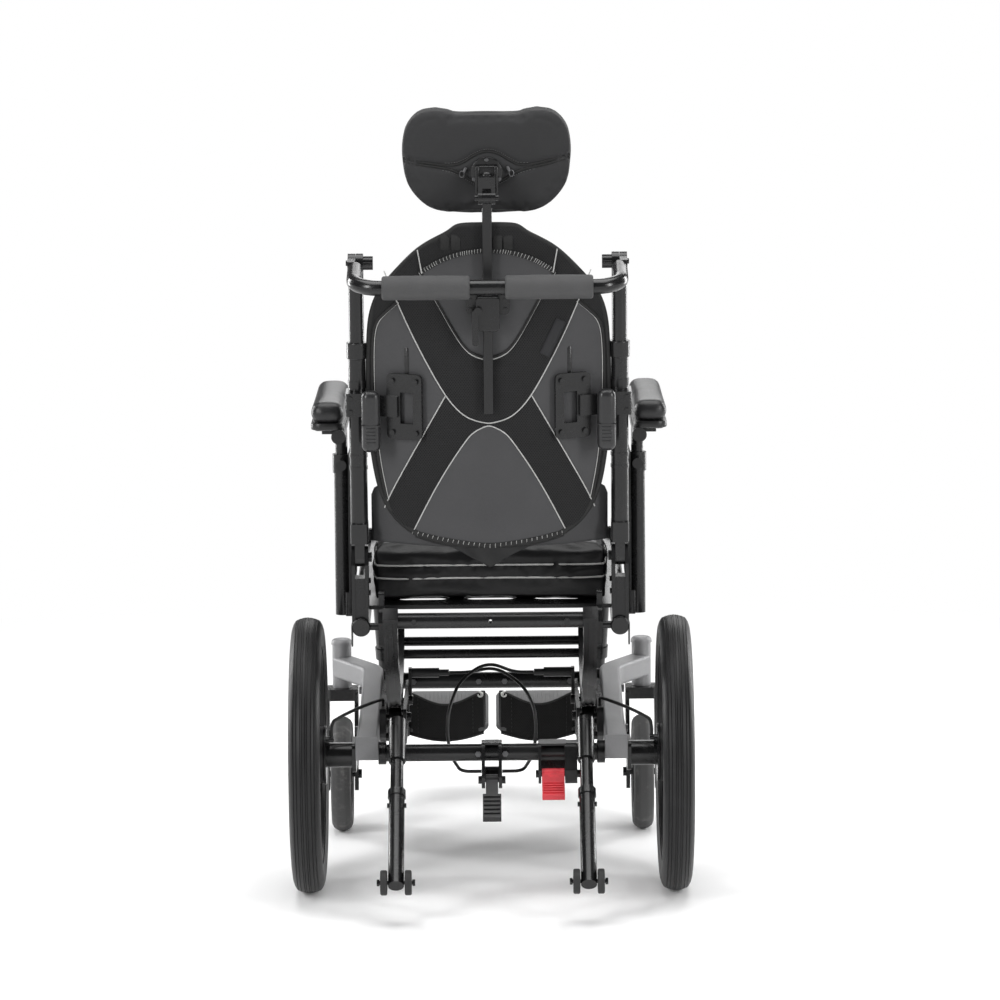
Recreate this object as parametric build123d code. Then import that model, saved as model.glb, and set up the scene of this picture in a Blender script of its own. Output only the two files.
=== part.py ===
from build123d import *
import os
from math import acos, asin, cos, degrees, radians, sin, sqrt, tan

# A manual tilt in space wheelchair, in millimetres. The chair faces +Y, +X is the occupant's right and +Z is up.
# Everything is drawn about the rear axle line (Y = 0, floor at Z = 0) and moved to the middle of its own box at the end.

# ---- Driving dimensions -------------------------------------------------------------------------------------------
# Running fits and gaps
RUNNING_FIT = 0.05        # radial clearance of a pin or tube that turns or slides in its bore
REST_GAP = 0.3            # gap between surfaces of different bodies that rest on each other
SIDE_GAP = 1.0            # sideways gap between a turning piece and the face beside it

# Rear wheels
WHEEL_R = 203.0           # 16 inch wheel over its tyre
TYRE_W = 46.0
TYRE_H = 38.0             # tread to bead
WHEEL_X = 269.5           # centre plane
RIM_W = 36.0
RIM_H = 11.0
HUB_R = 24.0
HUB_W = 40.0
SPOKES = 6
SPOKE_W = 24.0
DRUM_R = 42.0
AXLE_PIN_R = 6.0

# Side beams
BEAM_X = 183.0
BEAM_W = 32.0
BEAM_H = 33.0
BEAM_TOP = 235.0
BEAM_REAR = 32.0          # behind the axle line
BEAM_RISE_FROM = 150.0    # where the beam starts to climb
BEAM_RISE_TO = 385.0
BEAM_RISE = 32.0
CAP_T = 3.0

# Front casters
CASTER_X = 235.0
STEM_Y = 470.0
STEM_R = 8.0
HOUSING_R = 15.0
HOUSING_LOW = 220.0
HOUSING_H = 68.0
CASTER_R = 89.0           # 7 inch caster
CASTER_W = 32.0
CASTER_TYRE_H = 16.0
TRAIL = 40.0
FORK_T = 6.0
CROWN_T = 18.0
FORK_GAP = 3.5            # between the tyre and a fork leg
CASTER_PIN_R = 5.0

# Base cross tubes
CROSS_R = 12.7
TUBE_WALL = 2.5
AXLE_TUBE_Z = 205.0
FRONT_TUBE_Y = 372.0
COLLAR_R = 17.0
COLLAR_W = 12.0

# Tilt mechanism: the seat rides on two curved rocker rails about a point near the occupant's centre of mass
TILT_Y = 215.0
ROLLER_PIN_Z = 231.69     # the tilt centre stands above the roller pins by the rocker's radius
ROCKER_R = 380.0          # rolling face
ROCKER_H = 25.0
ROCKER_X = 145.0
ROCKER_W = 20.0
ROCKER_REAR_Z = 425.25    # height of the rail's middle line at its rear end
ROCKER_FRONT_Z = 311.8
GROOVE_W = 5.0
GROOVE_D = 1.5
FACE_GROOVE_X = 4.0       # from the rail's middle plane to a groove in its rolling face
ROLLER_R = 14.0
ROLLER_W = 18.0
ROLLER_PIN_R = 4.0
ROLLER_DEG = 10.0
ROLLER_COVER = 22.3       # from a roller pin to the cheek plates' top
INNER_PLATE_T = 5.0

# Axle carriers and brakes
CARRIER_R = 18.5
BACKING_R = 44.0
BACKING_T = 3.0
CABLE_R = 2.5
CABLE_BEND_SHARE = 0.45   # of the shorter run beside a bend
BRAKE_LEVER = (-31.0, 29.0)  # Y, and height over the axle, of the lever's cable pin

# Anti-tippers
TIP_X = 138.0
TIP_TOP = (-22.0, 252.0)  # Y and Z of the tube's upper end
TIP_END = (-235.0, 62.0)  # Y and Z of the wheel axle
TIP_TUBE_R = 9.5
TIP_SLEEVE_R = 11.5
TIP_SLEEVE_FROM = 0.43    # share of the way down where the sleeve starts
TIP_WHEEL_R = 18.0
TIP_WHEEL_W = 10.0
TIP_PIN_R = 3.0
TIP_TRAVEL = 40.0

# Pedals
PEDAL_PLATE_T = 5.0
PEDAL_HALF_W = 15.0       # to the outside of the bracket plates
TILT_LOCK = (280.0, 275.0)  # Y and Z of the lock housings
TILT_LOCK_L = 62.0
TILT_PIVOT = (-22.0, 168.0)
TILT_TIP = (-92.0, 122.0)
PEDAL_W = 27.0
LOCK_X = 97.0
LOCK_W = 37.0
LOCK_PIVOT = (-30.0, 178.0)
LOCK_TIP = (-84.0, 152.0)
LOCK_PEDAL_X = 90.0
LOCK_PEDAL_W = 33.0

# Seat
RAIL_X = 189.0
RAIL_R = 12.7
RAIL_REAR = -40.0
RAIL_FRONT = 452.0
RAIL_Z = 400.0            # centre height at the rear end
POST_RISE = 52.0          # of the post on each rocker's rear end over the rail
SEAT_PITCH = 4.3
REAR_BAR_Z = 415.0
REAR_BAR_INSET = 23.0     # from the rolling face to the bar's centre
REAR_BAR_R = 11.5
REAR_BAR_HOLE_R = 3.0
THIN_BAR_R = 7.25
THIN_BARS = (7.5, 2.5)     # degrees behind the rocker's front end
THIN_BAR_INSET = 12.0     # from the rolling face to the bar's centre
PAN_INSET = 3.0           # from a rail's centre plane to the pan's edge
PAN_T = 6.0
CUSHION_INSET = 11.0      # from a rail's centre plane to the cushion's side
CUSHION_H = 84.0
CUSHION_REAR = 22.0
CUSHION_FRONT = 452.0
GUARD_GAP = 2.3           # between a rail and its side guard
GUARD_T = 3.0
GUARD_REAR = -6.0
GUARD_FRONT = 318.0
GUARD_TOP = 648.0

# Armrests
ARM_Y = 112.0
ARM_POST_R = 9.0
ARM_SOCKET_R = 11.5
ARM_SOCKET_TOP = 636.0
ARM_PLATE_Z = 688.0
ARM_TRAVEL = 60.0
PAD_OUT = 15.5            # from the post to the pad's middle, outwards
PAD_L = 300.0
PAD_W = 50.0
PAD_H = 42.0
PAD_REAR = -32.0

# Back
BACK_OUT = 1.0            # from the rails' centre planes out to the canes'
PIVOT_Y = -20.0
PIVOT_Z = 501.0
PIVOT_PIN_R = 5.0
LUG_W = 14.0
LUG_R = 14.0
BRACKET_T = 5.0
CANE_R = 12.7
CANE_LEAN = 5.3
CANE_LOW = 30.0           # along the cane from the recline pivot
CANE_TOP = 318.0
POST_R = 11.0
POST_IN = 180.0           # length of post inside the cane at rest
HANDLE_UP = 436.0         # recline pivot to handle pivot
HANDLE_TRAVEL = 70.0
SHELL_SIDE_GAP = 5.3      # between the shell and a cane
SHELL_LOW = 28.0          # height of the shell's lower tip over the recline pivot, along the back
SHELL_TOP = 498.0
SHELL_T = 5.0
SHELL_DEPTH = 46.0
SHELL_BACK = 52.0         # rear-most skin of the shell behind the cane centre line
BACK_PAD_T = 34.0
BACK_PAD_LOW = 62.0
BACK_PAD_TOP = 470.0
BACK_PAD_INSET = 19.0     # from the shell's edge to the pad's

# Shell mounting plates and their quick release latches
SHELL_PLATE_IN = 53.0     # from the shell's edge to the plate's middle
SHELL_PLATE_W = 54.0
SHELL_PLATE_H = 96.0
SHELL_PLATE_T = 5.0
SHELL_PLATE_STAND = 4.0   # from the shell's skin to the plate
CLAMP_UP = 232.0
CLAMP_H = 34.0
CLAMP_ARM_T = 5.0
LATCH_UP = 240.0
LATCH_IN = 20.0           # from the cane's centre line to the latch's
LATCH_W = 24.0
LATCH_H = 92.0
LATCH_REAR = 15.5         # pin behind the clamp's arm
LATCH_PIN_R = 3.0
LATCH_OPEN = 50.0         # degrees from closed to open
LATCH_SWING = 9.4         # how far the lever reaches towards the clamp as it swings open
SLOT_UP = 296.0

# Push handle
BAR_R = 11.0
ARM_LEN = 122.0
ARM_DROP = 12.0
CORNER_R = 38.0
GRIP_R = 17.0
GRIP_L = 125.0
GRIP_END_GAP = 2.0        # from the grip to where the bar's bend starts
KNUCKLE_R = 14.0
TUBE_FROM = 30.0          # from a hinge's pin to where the round tube starts

# Headrest
HEAD_BAR_W = 14.0
HEAD_BAR_T = 6.0
HEAD_BAR_LOW = 226.0      # along the back from the recline pivot
HEAD_BAR_TOP = 534.0
HEAD_TRAVEL = 70.0
HEAD_BRACKET_LOW = 348.0
HEAD_BRACKET_H = 50.0
HEAD_CLAMP_W = 34.0
HEAD_CLAMP_WALL = 6.5     # in front of and behind the bar
HEAD_FOOT_W = 62.0
HEAD_FOOT_H = 28.0
HEAD_FOOT_T = 4.0
HEAD_LEVER_L = 52.0
HEAD_PAD_W = 246.0
HEAD_PAD_H = 150.0
HEAD_PAD_T = 44.0
HEAD_BALL_R = 11.0
HEAD_BALL_AHEAD = 34.0    # in front of the bar

# Leg rests
HANGER_Y = 482.0
HANGER_R = 11.0
HANGER_PIN_R = 7.0
FOOT_X = 165.0
FOOT_Y = 600.0
FOOT_LOW = 122.0
EXT_R = 9.5
EXT_TRAVEL = 50.0
PLATE_W = 138.0
PLATE_L = 140.0
PLATE_T = 9.0
PLATE_PITCH = 15.0
FLIP_X = 150.5
PLATE_EDGE = 6.5          # from the flip axis to the plate's outer edge
FLIP_PIN_R = 4.0
EAR_AT = (-4.0, 86.0)     # the bracket's lugs along the flip pin, from the plate's rear edge
LOOP_H = 62.0
LOOP_T = 3.0
LOOP_CLEAR = 14.0         # from the leg tube's centre line to the heel loop, beyond the tube's radius

# ---- Values worked out from the driving dimensions ----------------------------------------------------------------
BEAM_MID = BEAM_TOP - BEAM_H / 2
BEAM_IN = BEAM_X - BEAM_W / 2
BEAM_OUT = BEAM_X + BEAM_W / 2
RIM_R = WHEEL_R - TYRE_H
AXLE_Z = WHEEL_R
HUB_IN = WHEEL_X - HUB_W / 2 - 2
BACKING_X = HUB_IN - SIDE_GAP
WHEEL_Y = STEM_Y - TRAIL
PLATE_TOP = ROLLER_PIN_Z + ROLLER_COVER
ROLLER_LINE = ROCKER_R + REST_GAP + ROLLER_R
TILT_Z = ROLLER_PIN_Z + ROLLER_LINE * cos(radians(ROLLER_DEG))
ROCKER_MID = ROCKER_R - ROCKER_H / 2
ROCKER_REAR_DEG = -degrees(acos((TILT_Z - ROCKER_REAR_Z) / ROCKER_MID))
ROCKER_FRONT_DEG = degrees(acos((TILT_Z - ROCKER_FRONT_Z) / ROCKER_MID))
ROCKER_IN = ROCKER_X - ROCKER_W / 2
ROCKER_OUT = ROCKER_X + ROCKER_W / 2
OUTER_PLATE_IN = ROCKER_OUT + 3.0
INNER_PLATE_OUT = ROCKER_IN - 3.0
PITCH = tan(radians(SEAT_PITCH))
LEAN = radians(CANE_LEAN)
BACK_X = RAIL_X + BACK_OUT
SHELL_W = 2 * (BACK_X - CANE_R - SHELL_SIDE_GAP)
SHELL_PLATE_X = SHELL_W / 2 - SHELL_PLATE_IN
LATCH_X = BACK_X - LATCH_IN
GRIP_TO = BACK_X - CORNER_R - GRIP_END_GAP
GUARD_X = RAIL_X + RAIL_R + GUARD_GAP
SOCKET_X = GUARD_X + GUARD_T + SIDE_GAP + ARM_SOCKET_R
PAD_X = SOCKET_X + PAD_OUT


# ---- Helpers ------------------------------------------------------------------------------------------------------
def rod(start, end, radius, bore=0.0):
    """A round bar, or a tube, between two points."""
    start, end = Vector(*start), Vector(*end)
    place = Plane(origin=start, z_dir=end - start)
    align = (Align.CENTER, Align.CENTER, Align.MIN)
    bar = place * Cylinder(radius, (end - start).length, align=align)
    if bore:
        bar -= place * Cylinder(bore, (end - start).length, align=align)
    return bar


def across(y, z, x_from, x_to, radius, bore=0.0):
    """A round piece along X."""
    return rod((x_from, y, z), (x_to, y, z), radius, bore)


def bent(points, bend, section):
    """A section swept along straight runs joined by tangent arcs, its own X level at the start."""
    path = FilletPolyline(*points, radius=bend)
    ahead = path % 0
    level = ahead.cross(Vector(0, 0, 1))
    return sweep(Plane(origin=path @ 0, x_dir=level, z_dir=ahead) * section, path=path)


def cable(points, radius):
    """A held cable through its points, each arc as wide as the runs beside it allow."""
    places = [Vector(*point) for point in points]
    runs = [after - before for before, after in zip(places, places[1:])]
    bends = []
    for before, after in zip(runs, runs[1:]):
        half_turn = radians(before.get_angle(after)) / 2
        bends.append(CABLE_BEND_SHARE * min(before.length, after.length) / tan(half_turn))
    return bent(points, bends, Circle(radius))


def block(x_from, x_to, y_from, y_to, z_from, z_to, edge=0.0):
    """A box by its limits, with its upright edges rounded."""
    size = (x_to - x_from, y_to - y_from, z_to - z_from)
    middle = Pos((x_from + x_to) / 2, (y_from + y_to) / 2, (z_from + z_to) / 2)
    solid = middle * Box(*size)
    if edge:
        solid = fillet(solid.edges().filter_by(Axis.Z), min(edge, 0.45 * min(size[:2])))
    return solid


def side_plate(outline, x_from, x_to):
    """A plate across X from a closed outline of (Y, Z) points, (Y, Z, radius) where a corner is rounded."""
    wire = Polyline(*[(y, z) for y, z, *_ in outline], close=True)
    face = make_face(wire)
    for y, z, *radius in outline:
        if radius:
            corner = face.vertices().sort_by_distance((y, z, 0))[0]
            face = fillet(corner, radius[0])
    place = Plane(origin=(x_from, 0, 0), x_dir=(0, 1, 0), z_dir=(1, 0, 0))
    return extrude(place * face, x_to - x_from)


def on_arc(radius, angle):
    """(Y, Z) at an angle, forwards from straight below the tilt centre."""
    return TILT_Y + radius * sin(radians(angle)), TILT_Z - radius * cos(radians(angle))


def on_back(up, behind=0.0):
    """(Y, Z) at a height along the canes over the recline pivot, and a distance behind their centre line."""
    return (PIVOT_Y - up * sin(LEAN) - behind * cos(LEAN), PIVOT_Z + up * cos(LEAN) - behind * sin(LEAN))


def rail_z(y):
    """Height of the seat rails' centre line."""
    return RAIL_Z + (y - RAIL_REAR) * PITCH


def arc_bar(r_in, r_out, from_deg, to_deg, x_from, x_to):
    """A curved bar about the tilt centre."""
    def point(radius, angle):
        y, z = on_arc(radius, angle)
        return (y, z)
    middle = (from_deg + to_deg) / 2
    outline = [
        ThreePointArc(point(r_out, from_deg), point(r_out, middle), point(r_out, to_deg)),
        Line(point(r_out, to_deg), point(r_in, to_deg)),
        ThreePointArc(point(r_in, to_deg), point(r_in, middle), point(r_in, from_deg)),
        Line(point(r_in, from_deg), point(r_out, from_deg)),
    ]
    place = Plane(origin=(x_from, 0, 0), x_dir=(0, 1, 0), z_dir=(1, 0, 0))
    return extrude(place * make_face(Curve() + outline), x_to - x_from)


def mirrored(solid):
    """The same piece on the other side of the chair."""
    return mirror(solid, about=Plane.YZ)


def both(solid):
    """A right hand piece and its mirror image, as separate solids."""
    return [*solid.solids(), *mirrored(solid).solids()]


def bolt(y, z, x, out, radius=4.0, height=4.0):
    """A hexagon bolt head that stands on a face across X, outwards (+1) or inwards (-1)."""
    place = Plane(origin=(x, y, z), x_dir=(0, 1, 0), z_dir=(out, 0, 0))
    return extrude(place * RegularPolygon(radius, 6), height)


# ---- Base ---------------------------------------------------------------------------------------------------------
def beam():
    """The right side beam: level at the rear, climbing to the front and turned out to the caster housing."""
    route = [
        (BEAM_X, -BEAM_REAR, BEAM_MID),
        (BEAM_X, BEAM_RISE_FROM, BEAM_MID),
        (BEAM_X, BEAM_RISE_TO, BEAM_MID + BEAM_RISE),
        (CASTER_X, STEM_Y, BEAM_MID + BEAM_RISE + 2),
    ]
    section = RectangleRounded(BEAM_W, BEAM_H, 5)
    body = bent(route, [300, 60], section)
    cap = block(
        BEAM_IN - 1, BEAM_OUT + 1, -BEAM_REAR - CAP_T, -BEAM_REAR, BEAM_MID - BEAM_H / 2 - 1, BEAM_TOP + 1, edge=2
    )
    low, high = HOUSING_LOW, HOUSING_LOW + HOUSING_H
    housing = rod((CASTER_X, STEM_Y, low), (CASTER_X, STEM_Y, high), HOUSING_R)
    dome_r = HOUSING_R + 1.5
    dome = Pos(CASTER_X, STEM_Y, high) * Cylinder(dome_r, 9, align=(Align.CENTER, Align.CENTER, Align.MIN))
    dome = fillet(dome.edges().sort_by(Axis.Z)[-1], 7)
    shaft = rod((CASTER_X, STEM_Y, low), (CASTER_X, STEM_Y, high - 8), STEM_R + RUNNING_FIT)
    return body + cap + housing + dome - shaft


def base_cross_tubes():
    """Axle tube and front tube between the beams, with the collars that clamp them."""
    tubes = []
    for y, z in ((0.0, AXLE_TUBE_Z), (FRONT_TUBE_Y, BEAM_MID + BEAM_RISE - 4)):
        tube = across(y, z, -BEAM_IN, BEAM_IN, CROSS_R, CROSS_R - TUBE_WALL)
        for side in (-1, 1):
            collar = across(y, z, side * BEAM_IN, side * (BEAM_IN - COLLAR_W), COLLAR_R)
            tube += fillet(collar.edges().sort_by(Axis.X)[0 if side > 0 else -1], 2)
        tubes.append(tube)
    return tubes


def roller_pins():
    """(Y, Z) of the rear and front roller pins."""
    return [on_arc(ROLLER_LINE, angle) for angle in (-ROLLER_DEG, ROLLER_DEG)]


def roller_brackets():
    """Two cheek plates each side that carry the roller pins and guide the rocker rail between them."""
    (rear_y, pin_z), (front_y, _) = roller_pins()
    low = pin_z - ROLLER_R - 20
    outline = [
        (rear_y - 62, PLATE_TOP, 8), (rear_y - 62, low + 16, 10), (rear_y - 40, low, 10),
        (front_y + 40, low, 10), (front_y + 62, low + 16, 10), (front_y + 62, PLATE_TOP, 8),
    ]
    window = [
        (rear_y + 24, pin_z + 8, 5), (rear_y + 24, pin_z - 14, 5),
        (front_y - 24, pin_z - 14, 5), (front_y - 24, pin_z + 8, 5),
    ]
    outer = side_plate(outline, OUTER_PLATE_IN, BEAM_IN)
    inner = side_plate(outline, INNER_PLATE_OUT - INNER_PLATE_T, INNER_PLATE_OUT)
    for_window = side_plate(window, INNER_PLATE_OUT - INNER_PLATE_T - 1, BEAM_IN + 1)
    bracket = outer + inner - for_window
    for y in (rear_y, front_y):
        bracket += across(y, pin_z, INNER_PLATE_OUT - INNER_PLATE_T - 6, OUTER_PLATE_IN, ROLLER_PIN_R)
        bracket += across(y, pin_z, INNER_PLATE_OUT - INNER_PLATE_T - 6, INNER_PLATE_OUT - INNER_PLATE_T, 7)
    for y in (rear_y - 36, (rear_y + front_y) / 2, front_y + 36):
        bracket += across(y, low + 10, INNER_PLATE_OUT, OUTER_PLATE_IN, 6)
    return both(bracket)


def rollers(place):
    """One roller under each rocker rail, running on its pin."""
    y, z = roller_pins()[place]
    body = across(y, z, ROCKER_X - ROLLER_W / 2, ROCKER_X + ROLLER_W / 2, ROLLER_R, ROLLER_PIN_R + RUNNING_FIT)
    return both(fillet(body.edges().filter_by(GeomType.CIRCLE).sort_by(SortBy.RADIUS)[-2:], 1.5))


def axle_carriers():
    """The blocks on the outside of the beams that hold the wheel pins and the drum brakes' backing plates."""
    plate = side_plate(
        [(-31, AXLE_Z + 22, 8), (-31, AXLE_Z - 22, 10), (34, AXLE_Z - 22, 10), (34, AXLE_Z + 22, 8)],
        BEAM_OUT, BEAM_OUT + 6,
    )
    sleeve_out = BACKING_X - BACKING_T
    body = plate + across(0, AXLE_Z, BEAM_OUT + 6, sleeve_out, CARRIER_R)
    body += across(0, AXLE_Z, sleeve_out, BACKING_X, BACKING_R)
    body += across(0, AXLE_Z, BACKING_X, WHEEL_X + HUB_W / 2 + 5, AXLE_PIN_R)
    body += across(0, AXLE_Z, WHEEL_X + HUB_W / 2 + SIDE_GAP, WHEEL_X + HUB_W / 2 + 6, 11)
    lever_y, lever_up = BRAKE_LEVER
    lever_x = sleeve_out - 5
    body += side_plate(
        [(-6, AXLE_Z + 20, 3), (lever_y + 1, AXLE_Z + lever_up + 5, 4), (lever_y - 7, AXLE_Z + lever_up - 3, 4),
         (-10, AXLE_Z + 12, 3)], lever_x, sleeve_out,
    )
    body += across(lever_y, AXLE_Z + lever_up, lever_x - 7, lever_x, 4)
    return both(body)


def brake_cable_route():
    """From a clip on the roller bracket, over the beam and down to the brake lever's pin."""
    y_end, z_end = BRAKE_LEVER[0], AXLE_Z + BRAKE_LEVER[1] + 4 + REST_GAP
    x_end = BACKING_X - BACKING_T - 8.5
    clip_x = (OUTER_PLATE_IN + BEAM_IN) / 2
    return [
        (clip_x, 118, PLATE_TOP + REST_GAP), (clip_x, 118, PLATE_TOP + 10), (BEAM_X - 13, 84, 268),
        (BEAM_X + 9, 48, 266), (BEAM_OUT + 17, 8, 262), (x_end - 2, -22, 257), (x_end, y_end, z_end + 10),
        (x_end, y_end, z_end),
    ]


def brake_cables():
    """One brake cable each side, whole, along its clipped route."""
    return both(cable(brake_cable_route(), CABLE_R))


def anti_tip_line(share):
    """(Y, Z) on the anti-tipper's centre line, 0 at its upper end and 1 at the wheel axle."""
    return tuple(top + (end - top) * share for top, end in zip(TIP_TOP, TIP_END))


def anti_tip_arms():
    """The fixed upper tubes, each in a receiver that is welded to the axle tube."""
    arms = []
    end = anti_tip_line(0.76)
    arm = rod((TIP_X, *TIP_TOP), (TIP_X, *end), TIP_TUBE_R, TIP_TUBE_R - 2)
    (top_y, top_z), receiver_end = TIP_TOP, anti_tip_line(0.24)
    receiver = rod((TIP_X, *TIP_TOP), (TIP_X, *receiver_end), TIP_TUBE_R + 3, TIP_TUBE_R)
    gusset = side_plate(
        [(CROSS_R - 4, AXLE_TUBE_Z + 4), (-8, AXLE_TUBE_Z - CROSS_R + 2), (top_y - 22, top_z - 34),
         (top_y - 4, top_z - 12), (top_y + 20, top_z - 16)],
        TIP_X - 3, TIP_X + 3,
    )
    gusset -= rod((TIP_X, *TIP_TOP), (TIP_X, *receiver_end), TIP_TUBE_R + 1)
    gusset -= across(0, AXLE_TUBE_Z, -BEAM_IN, BEAM_IN, CROSS_R)
    plug = rod((TIP_X, *anti_tip_line(-0.02)), (TIP_X, *TIP_TOP), TIP_TUBE_R + 3)
    return both(arm + receiver + gusset + plug)


def tilt_locks():
    """Tilt lock housings across the base, on posts that stand on the roller brackets."""
    y, z = TILT_LOCK
    reach = INNER_PLATE_OUT - INNER_PLATE_T
    post = side_plate([(y - 12, PLATE_TOP - 12), (y + 12, PLATE_TOP - 12), (y + 9, z + 8, 4), (y - 9, z + 8, 4)],
                      reach - 5, reach)
    body = across(y, z, reach - 47, reach - 5, 7.5)
    body += across(y, z, reach - TILT_LOCK_L, reach - 47, 5)
    return both(body + post)


def release_cable_route(side):
    """From a lock housing over the middle, under the axle tube's front and in to the pedal bracket."""
    x = side * (INNER_PLATE_OUT - INNER_PLATE_T - TILT_LOCK_L - REST_GAP)
    y, z = TILT_LOCK
    lift = 8 if side > 0 else 0
    return [
        (x, y, z), (x * 0.55, y, z), (-x * 0.1, y - 20, z + 12 + lift), (-x * 0.75, y - 45, z - 12 + lift),
        (-x * 1.0, y - 90, 236), (-x * 1.04, 120, 214), (-x * 0.95, 52, 190), (-x * 0.7, -8, 178),
        (-side * (PEDAL_HALF_W + REST_GAP), -8, 178),
    ]


def release_cables():
    """Two crossing release cables from the locks to the tilt pedal's bracket."""
    return [cable(release_cable_route(side), CABLE_R) for side in (-1, 1)]


def pedal_bracket():
    """Cheek plates on the axle tube that hold the tilt pedal's pin, with the cable stop between them."""
    y, z = TILT_PIVOT
    outline = [
        (CROSS_R + 4, AXLE_TUBE_Z + CROSS_R + 4, 6), (-CROSS_R - 8, AXLE_TUBE_Z + CROSS_R + 4, 14),
        (y - 12, z + 6, 6), (y - 12, z - 12, 8), (y + 12, z - 12, 8), (CROSS_R + 4, AXLE_TUBE_Z - 26, 8),
    ]
    inner = PEDAL_HALF_W - PEDAL_PLATE_T
    cheek = side_plate(outline, inner, PEDAL_HALF_W)
    tube_hole = across(0, AXLE_TUBE_Z, -PEDAL_HALF_W, PEDAL_HALF_W, CROSS_R)
    body = cheek + mirrored(cheek)
    top = side_plate(
        [(CROSS_R, AXLE_TUBE_Z + CROSS_R + 1), (CROSS_R, AXLE_TUBE_Z + CROSS_R + 4),
         (-CROSS_R - 2, AXLE_TUBE_Z + CROSS_R + 4), (-CROSS_R - 2, AXLE_TUBE_Z + CROSS_R + 1)],
        -inner, inner,
    )
    stop = side_plate([(2, z - 4), (2, z + 14, 3), (12, z + 14, 3), (12, z - 4)], -inner, inner)
    body = body + top + stop - tube_hole
    body += across(y, z, -PEDAL_HALF_W - 4, PEDAL_HALF_W + 4, ROLLER_PIN_R)
    for side in (-1, 1):
        body += bolt(y, z, side * PEDAL_HALF_W, side, 6, 5)
    return [body]


def pedal(pivot, tip, width, hub_w, middle):
    """A foot pedal: hub on the pin, an arm down to a ribbed tread plate."""
    (y, z), (tip_y, tip_z) = pivot, tip
    run, fall = tip_y - y, tip_z - z
    length = sqrt(run * run + fall * fall)
    along = (run / length, fall / length)
    up = (-along[1], along[0])
    if up[1] < 0:
        up = (-up[0], -up[1])

    def place(far, high):
        return (y + along[0] * far + up[0] * high, z + along[1] * far + up[1] * high)

    tread_from = length * 0.42
    arm = side_plate(
        [place(0, 6), place(length * 0.5, 5), place(length * 0.5, -4), place(0, -7)],
        middle - hub_w / 2, middle + hub_w / 2,
    )
    hub = across(y, z, middle - hub_w / 2, middle + hub_w / 2, 8)
    tread = side_plate(
        [place(tread_from, 6), place(length, 6), (*place(length + 2, -2), 2), place(length - 6, -5),
         place(tread_from, -3)],
        middle - width / 2, middle + width / 2,
    )
    for number in range(5):
        far = tread_from + 4 + number * (length - tread_from - 6) / 5
        tread += side_plate([place(far, 5.5), place(far, 8), place(far + 3, 8), place(far + 3, 5.5)],
                            middle - width / 2 + 1.5, middle + width / 2 - 1.5)
    body = arm + hub + tread
    body -= across(y, z, middle - hub_w, middle + hub_w, ROLLER_PIN_R + RUNNING_FIT)
    return [body]


def wheel_lock_housing():
    """Box and arm on the axle tube that hold the wheel lock pedal's pin."""
    y, z = LOCK_PIVOT
    half = LOCK_W / 2
    inner = LOCK_PEDAL_W / 2 + SIDE_GAP
    left, right = LOCK_PEDAL_X - inner, LOCK_PEDAL_X + inner
    outline = [
        (CROSS_R + 4, AXLE_TUBE_Z + CROSS_R + 3, 6), (-CROSS_R - 6, AXLE_TUBE_Z + CROSS_R + 3, 12),
        (y - 11, z + 8, 6), (y - 11, z - 14, 8), (CROSS_R + 2, z - 14, 8),
    ]
    body = side_plate(outline, right, right + 18) + side_plate(outline, left - 4, left)
    web = side_plate([(CROSS_R + 4, AXLE_TUBE_Z + CROSS_R), (CROSS_R + 4, AXLE_TUBE_Z + CROSS_R + 3),
                      (-CROSS_R - 6, AXLE_TUBE_Z + CROSS_R + 3), (-CROSS_R - 6, AXLE_TUBE_Z + CROSS_R)],
                     left - 2, right + 2)
    rear_wall = side_plate([(CROSS_R - 4, z - 12), (CROSS_R - 4, AXLE_TUBE_Z), (CROSS_R, AXLE_TUBE_Z),
                            (CROSS_R, z - 12)], left - 2, right + 2)
    body += web + rear_wall
    body -= across(0, AXLE_TUBE_Z, left - half, right + half, CROSS_R)
    body += across(y, z, left - 7, right + 21, ROLLER_PIN_R)
    body += bolt(y, z, right + 18, 1, 6, 5) + bolt(y, z, left - 4, -1, 6, 4)
    return [body]


def base_fasteners():
    """Bolts through the beams and the cross tubes, as separate solids."""
    heads = []
    (rear_y, pin_z), (front_y, _) = roller_pins()
    climb = BEAM_RISE / (BEAM_RISE_TO - BEAM_RISE_FROM)
    for y in (rear_y - 36, front_y + 36):
        z = BEAM_MID + max(0, y - BEAM_RISE_FROM) * climb
        heads += both(bolt(y, z, BEAM_OUT, 1, 6.5, 5))
    for x in (-BEAM_IN + 46, -20, 20, BEAM_IN - 46):
        for y, z in ((0.0, AXLE_TUBE_Z), (FRONT_TUBE_Y, BEAM_MID + BEAM_RISE - 4)):
            if abs(x) < PEDAL_HALF_W or (y == 0.0 and abs(x) > BEAM_IN - 50):
                continue
            place = Plane(origin=(x, y - CROSS_R + 2, z), x_dir=(1, 0, 0), z_dir=(0, -1, 0))
            heads.append(extrude(place * RegularPolygon(4.5, 6), 5) - across(y, z, x - 9, x + 9, CROSS_R))
    return heads


# ---- Rear wheels --------------------------------------------------------------------------------------------------
def wheel_section(points, x):
    """A ring turned about the rear axle, from a closed outline of (X offset, radius) points."""
    face = make_face(Polyline(*points, close=True))
    place = Plane(origin=(x, 0, AXLE_Z), x_dir=(1, 0, 0), z_dir=(0, 1, 0))
    return revolve(place * face, Axis((x, 0, AXLE_Z), (1, 0, 0)))


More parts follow.
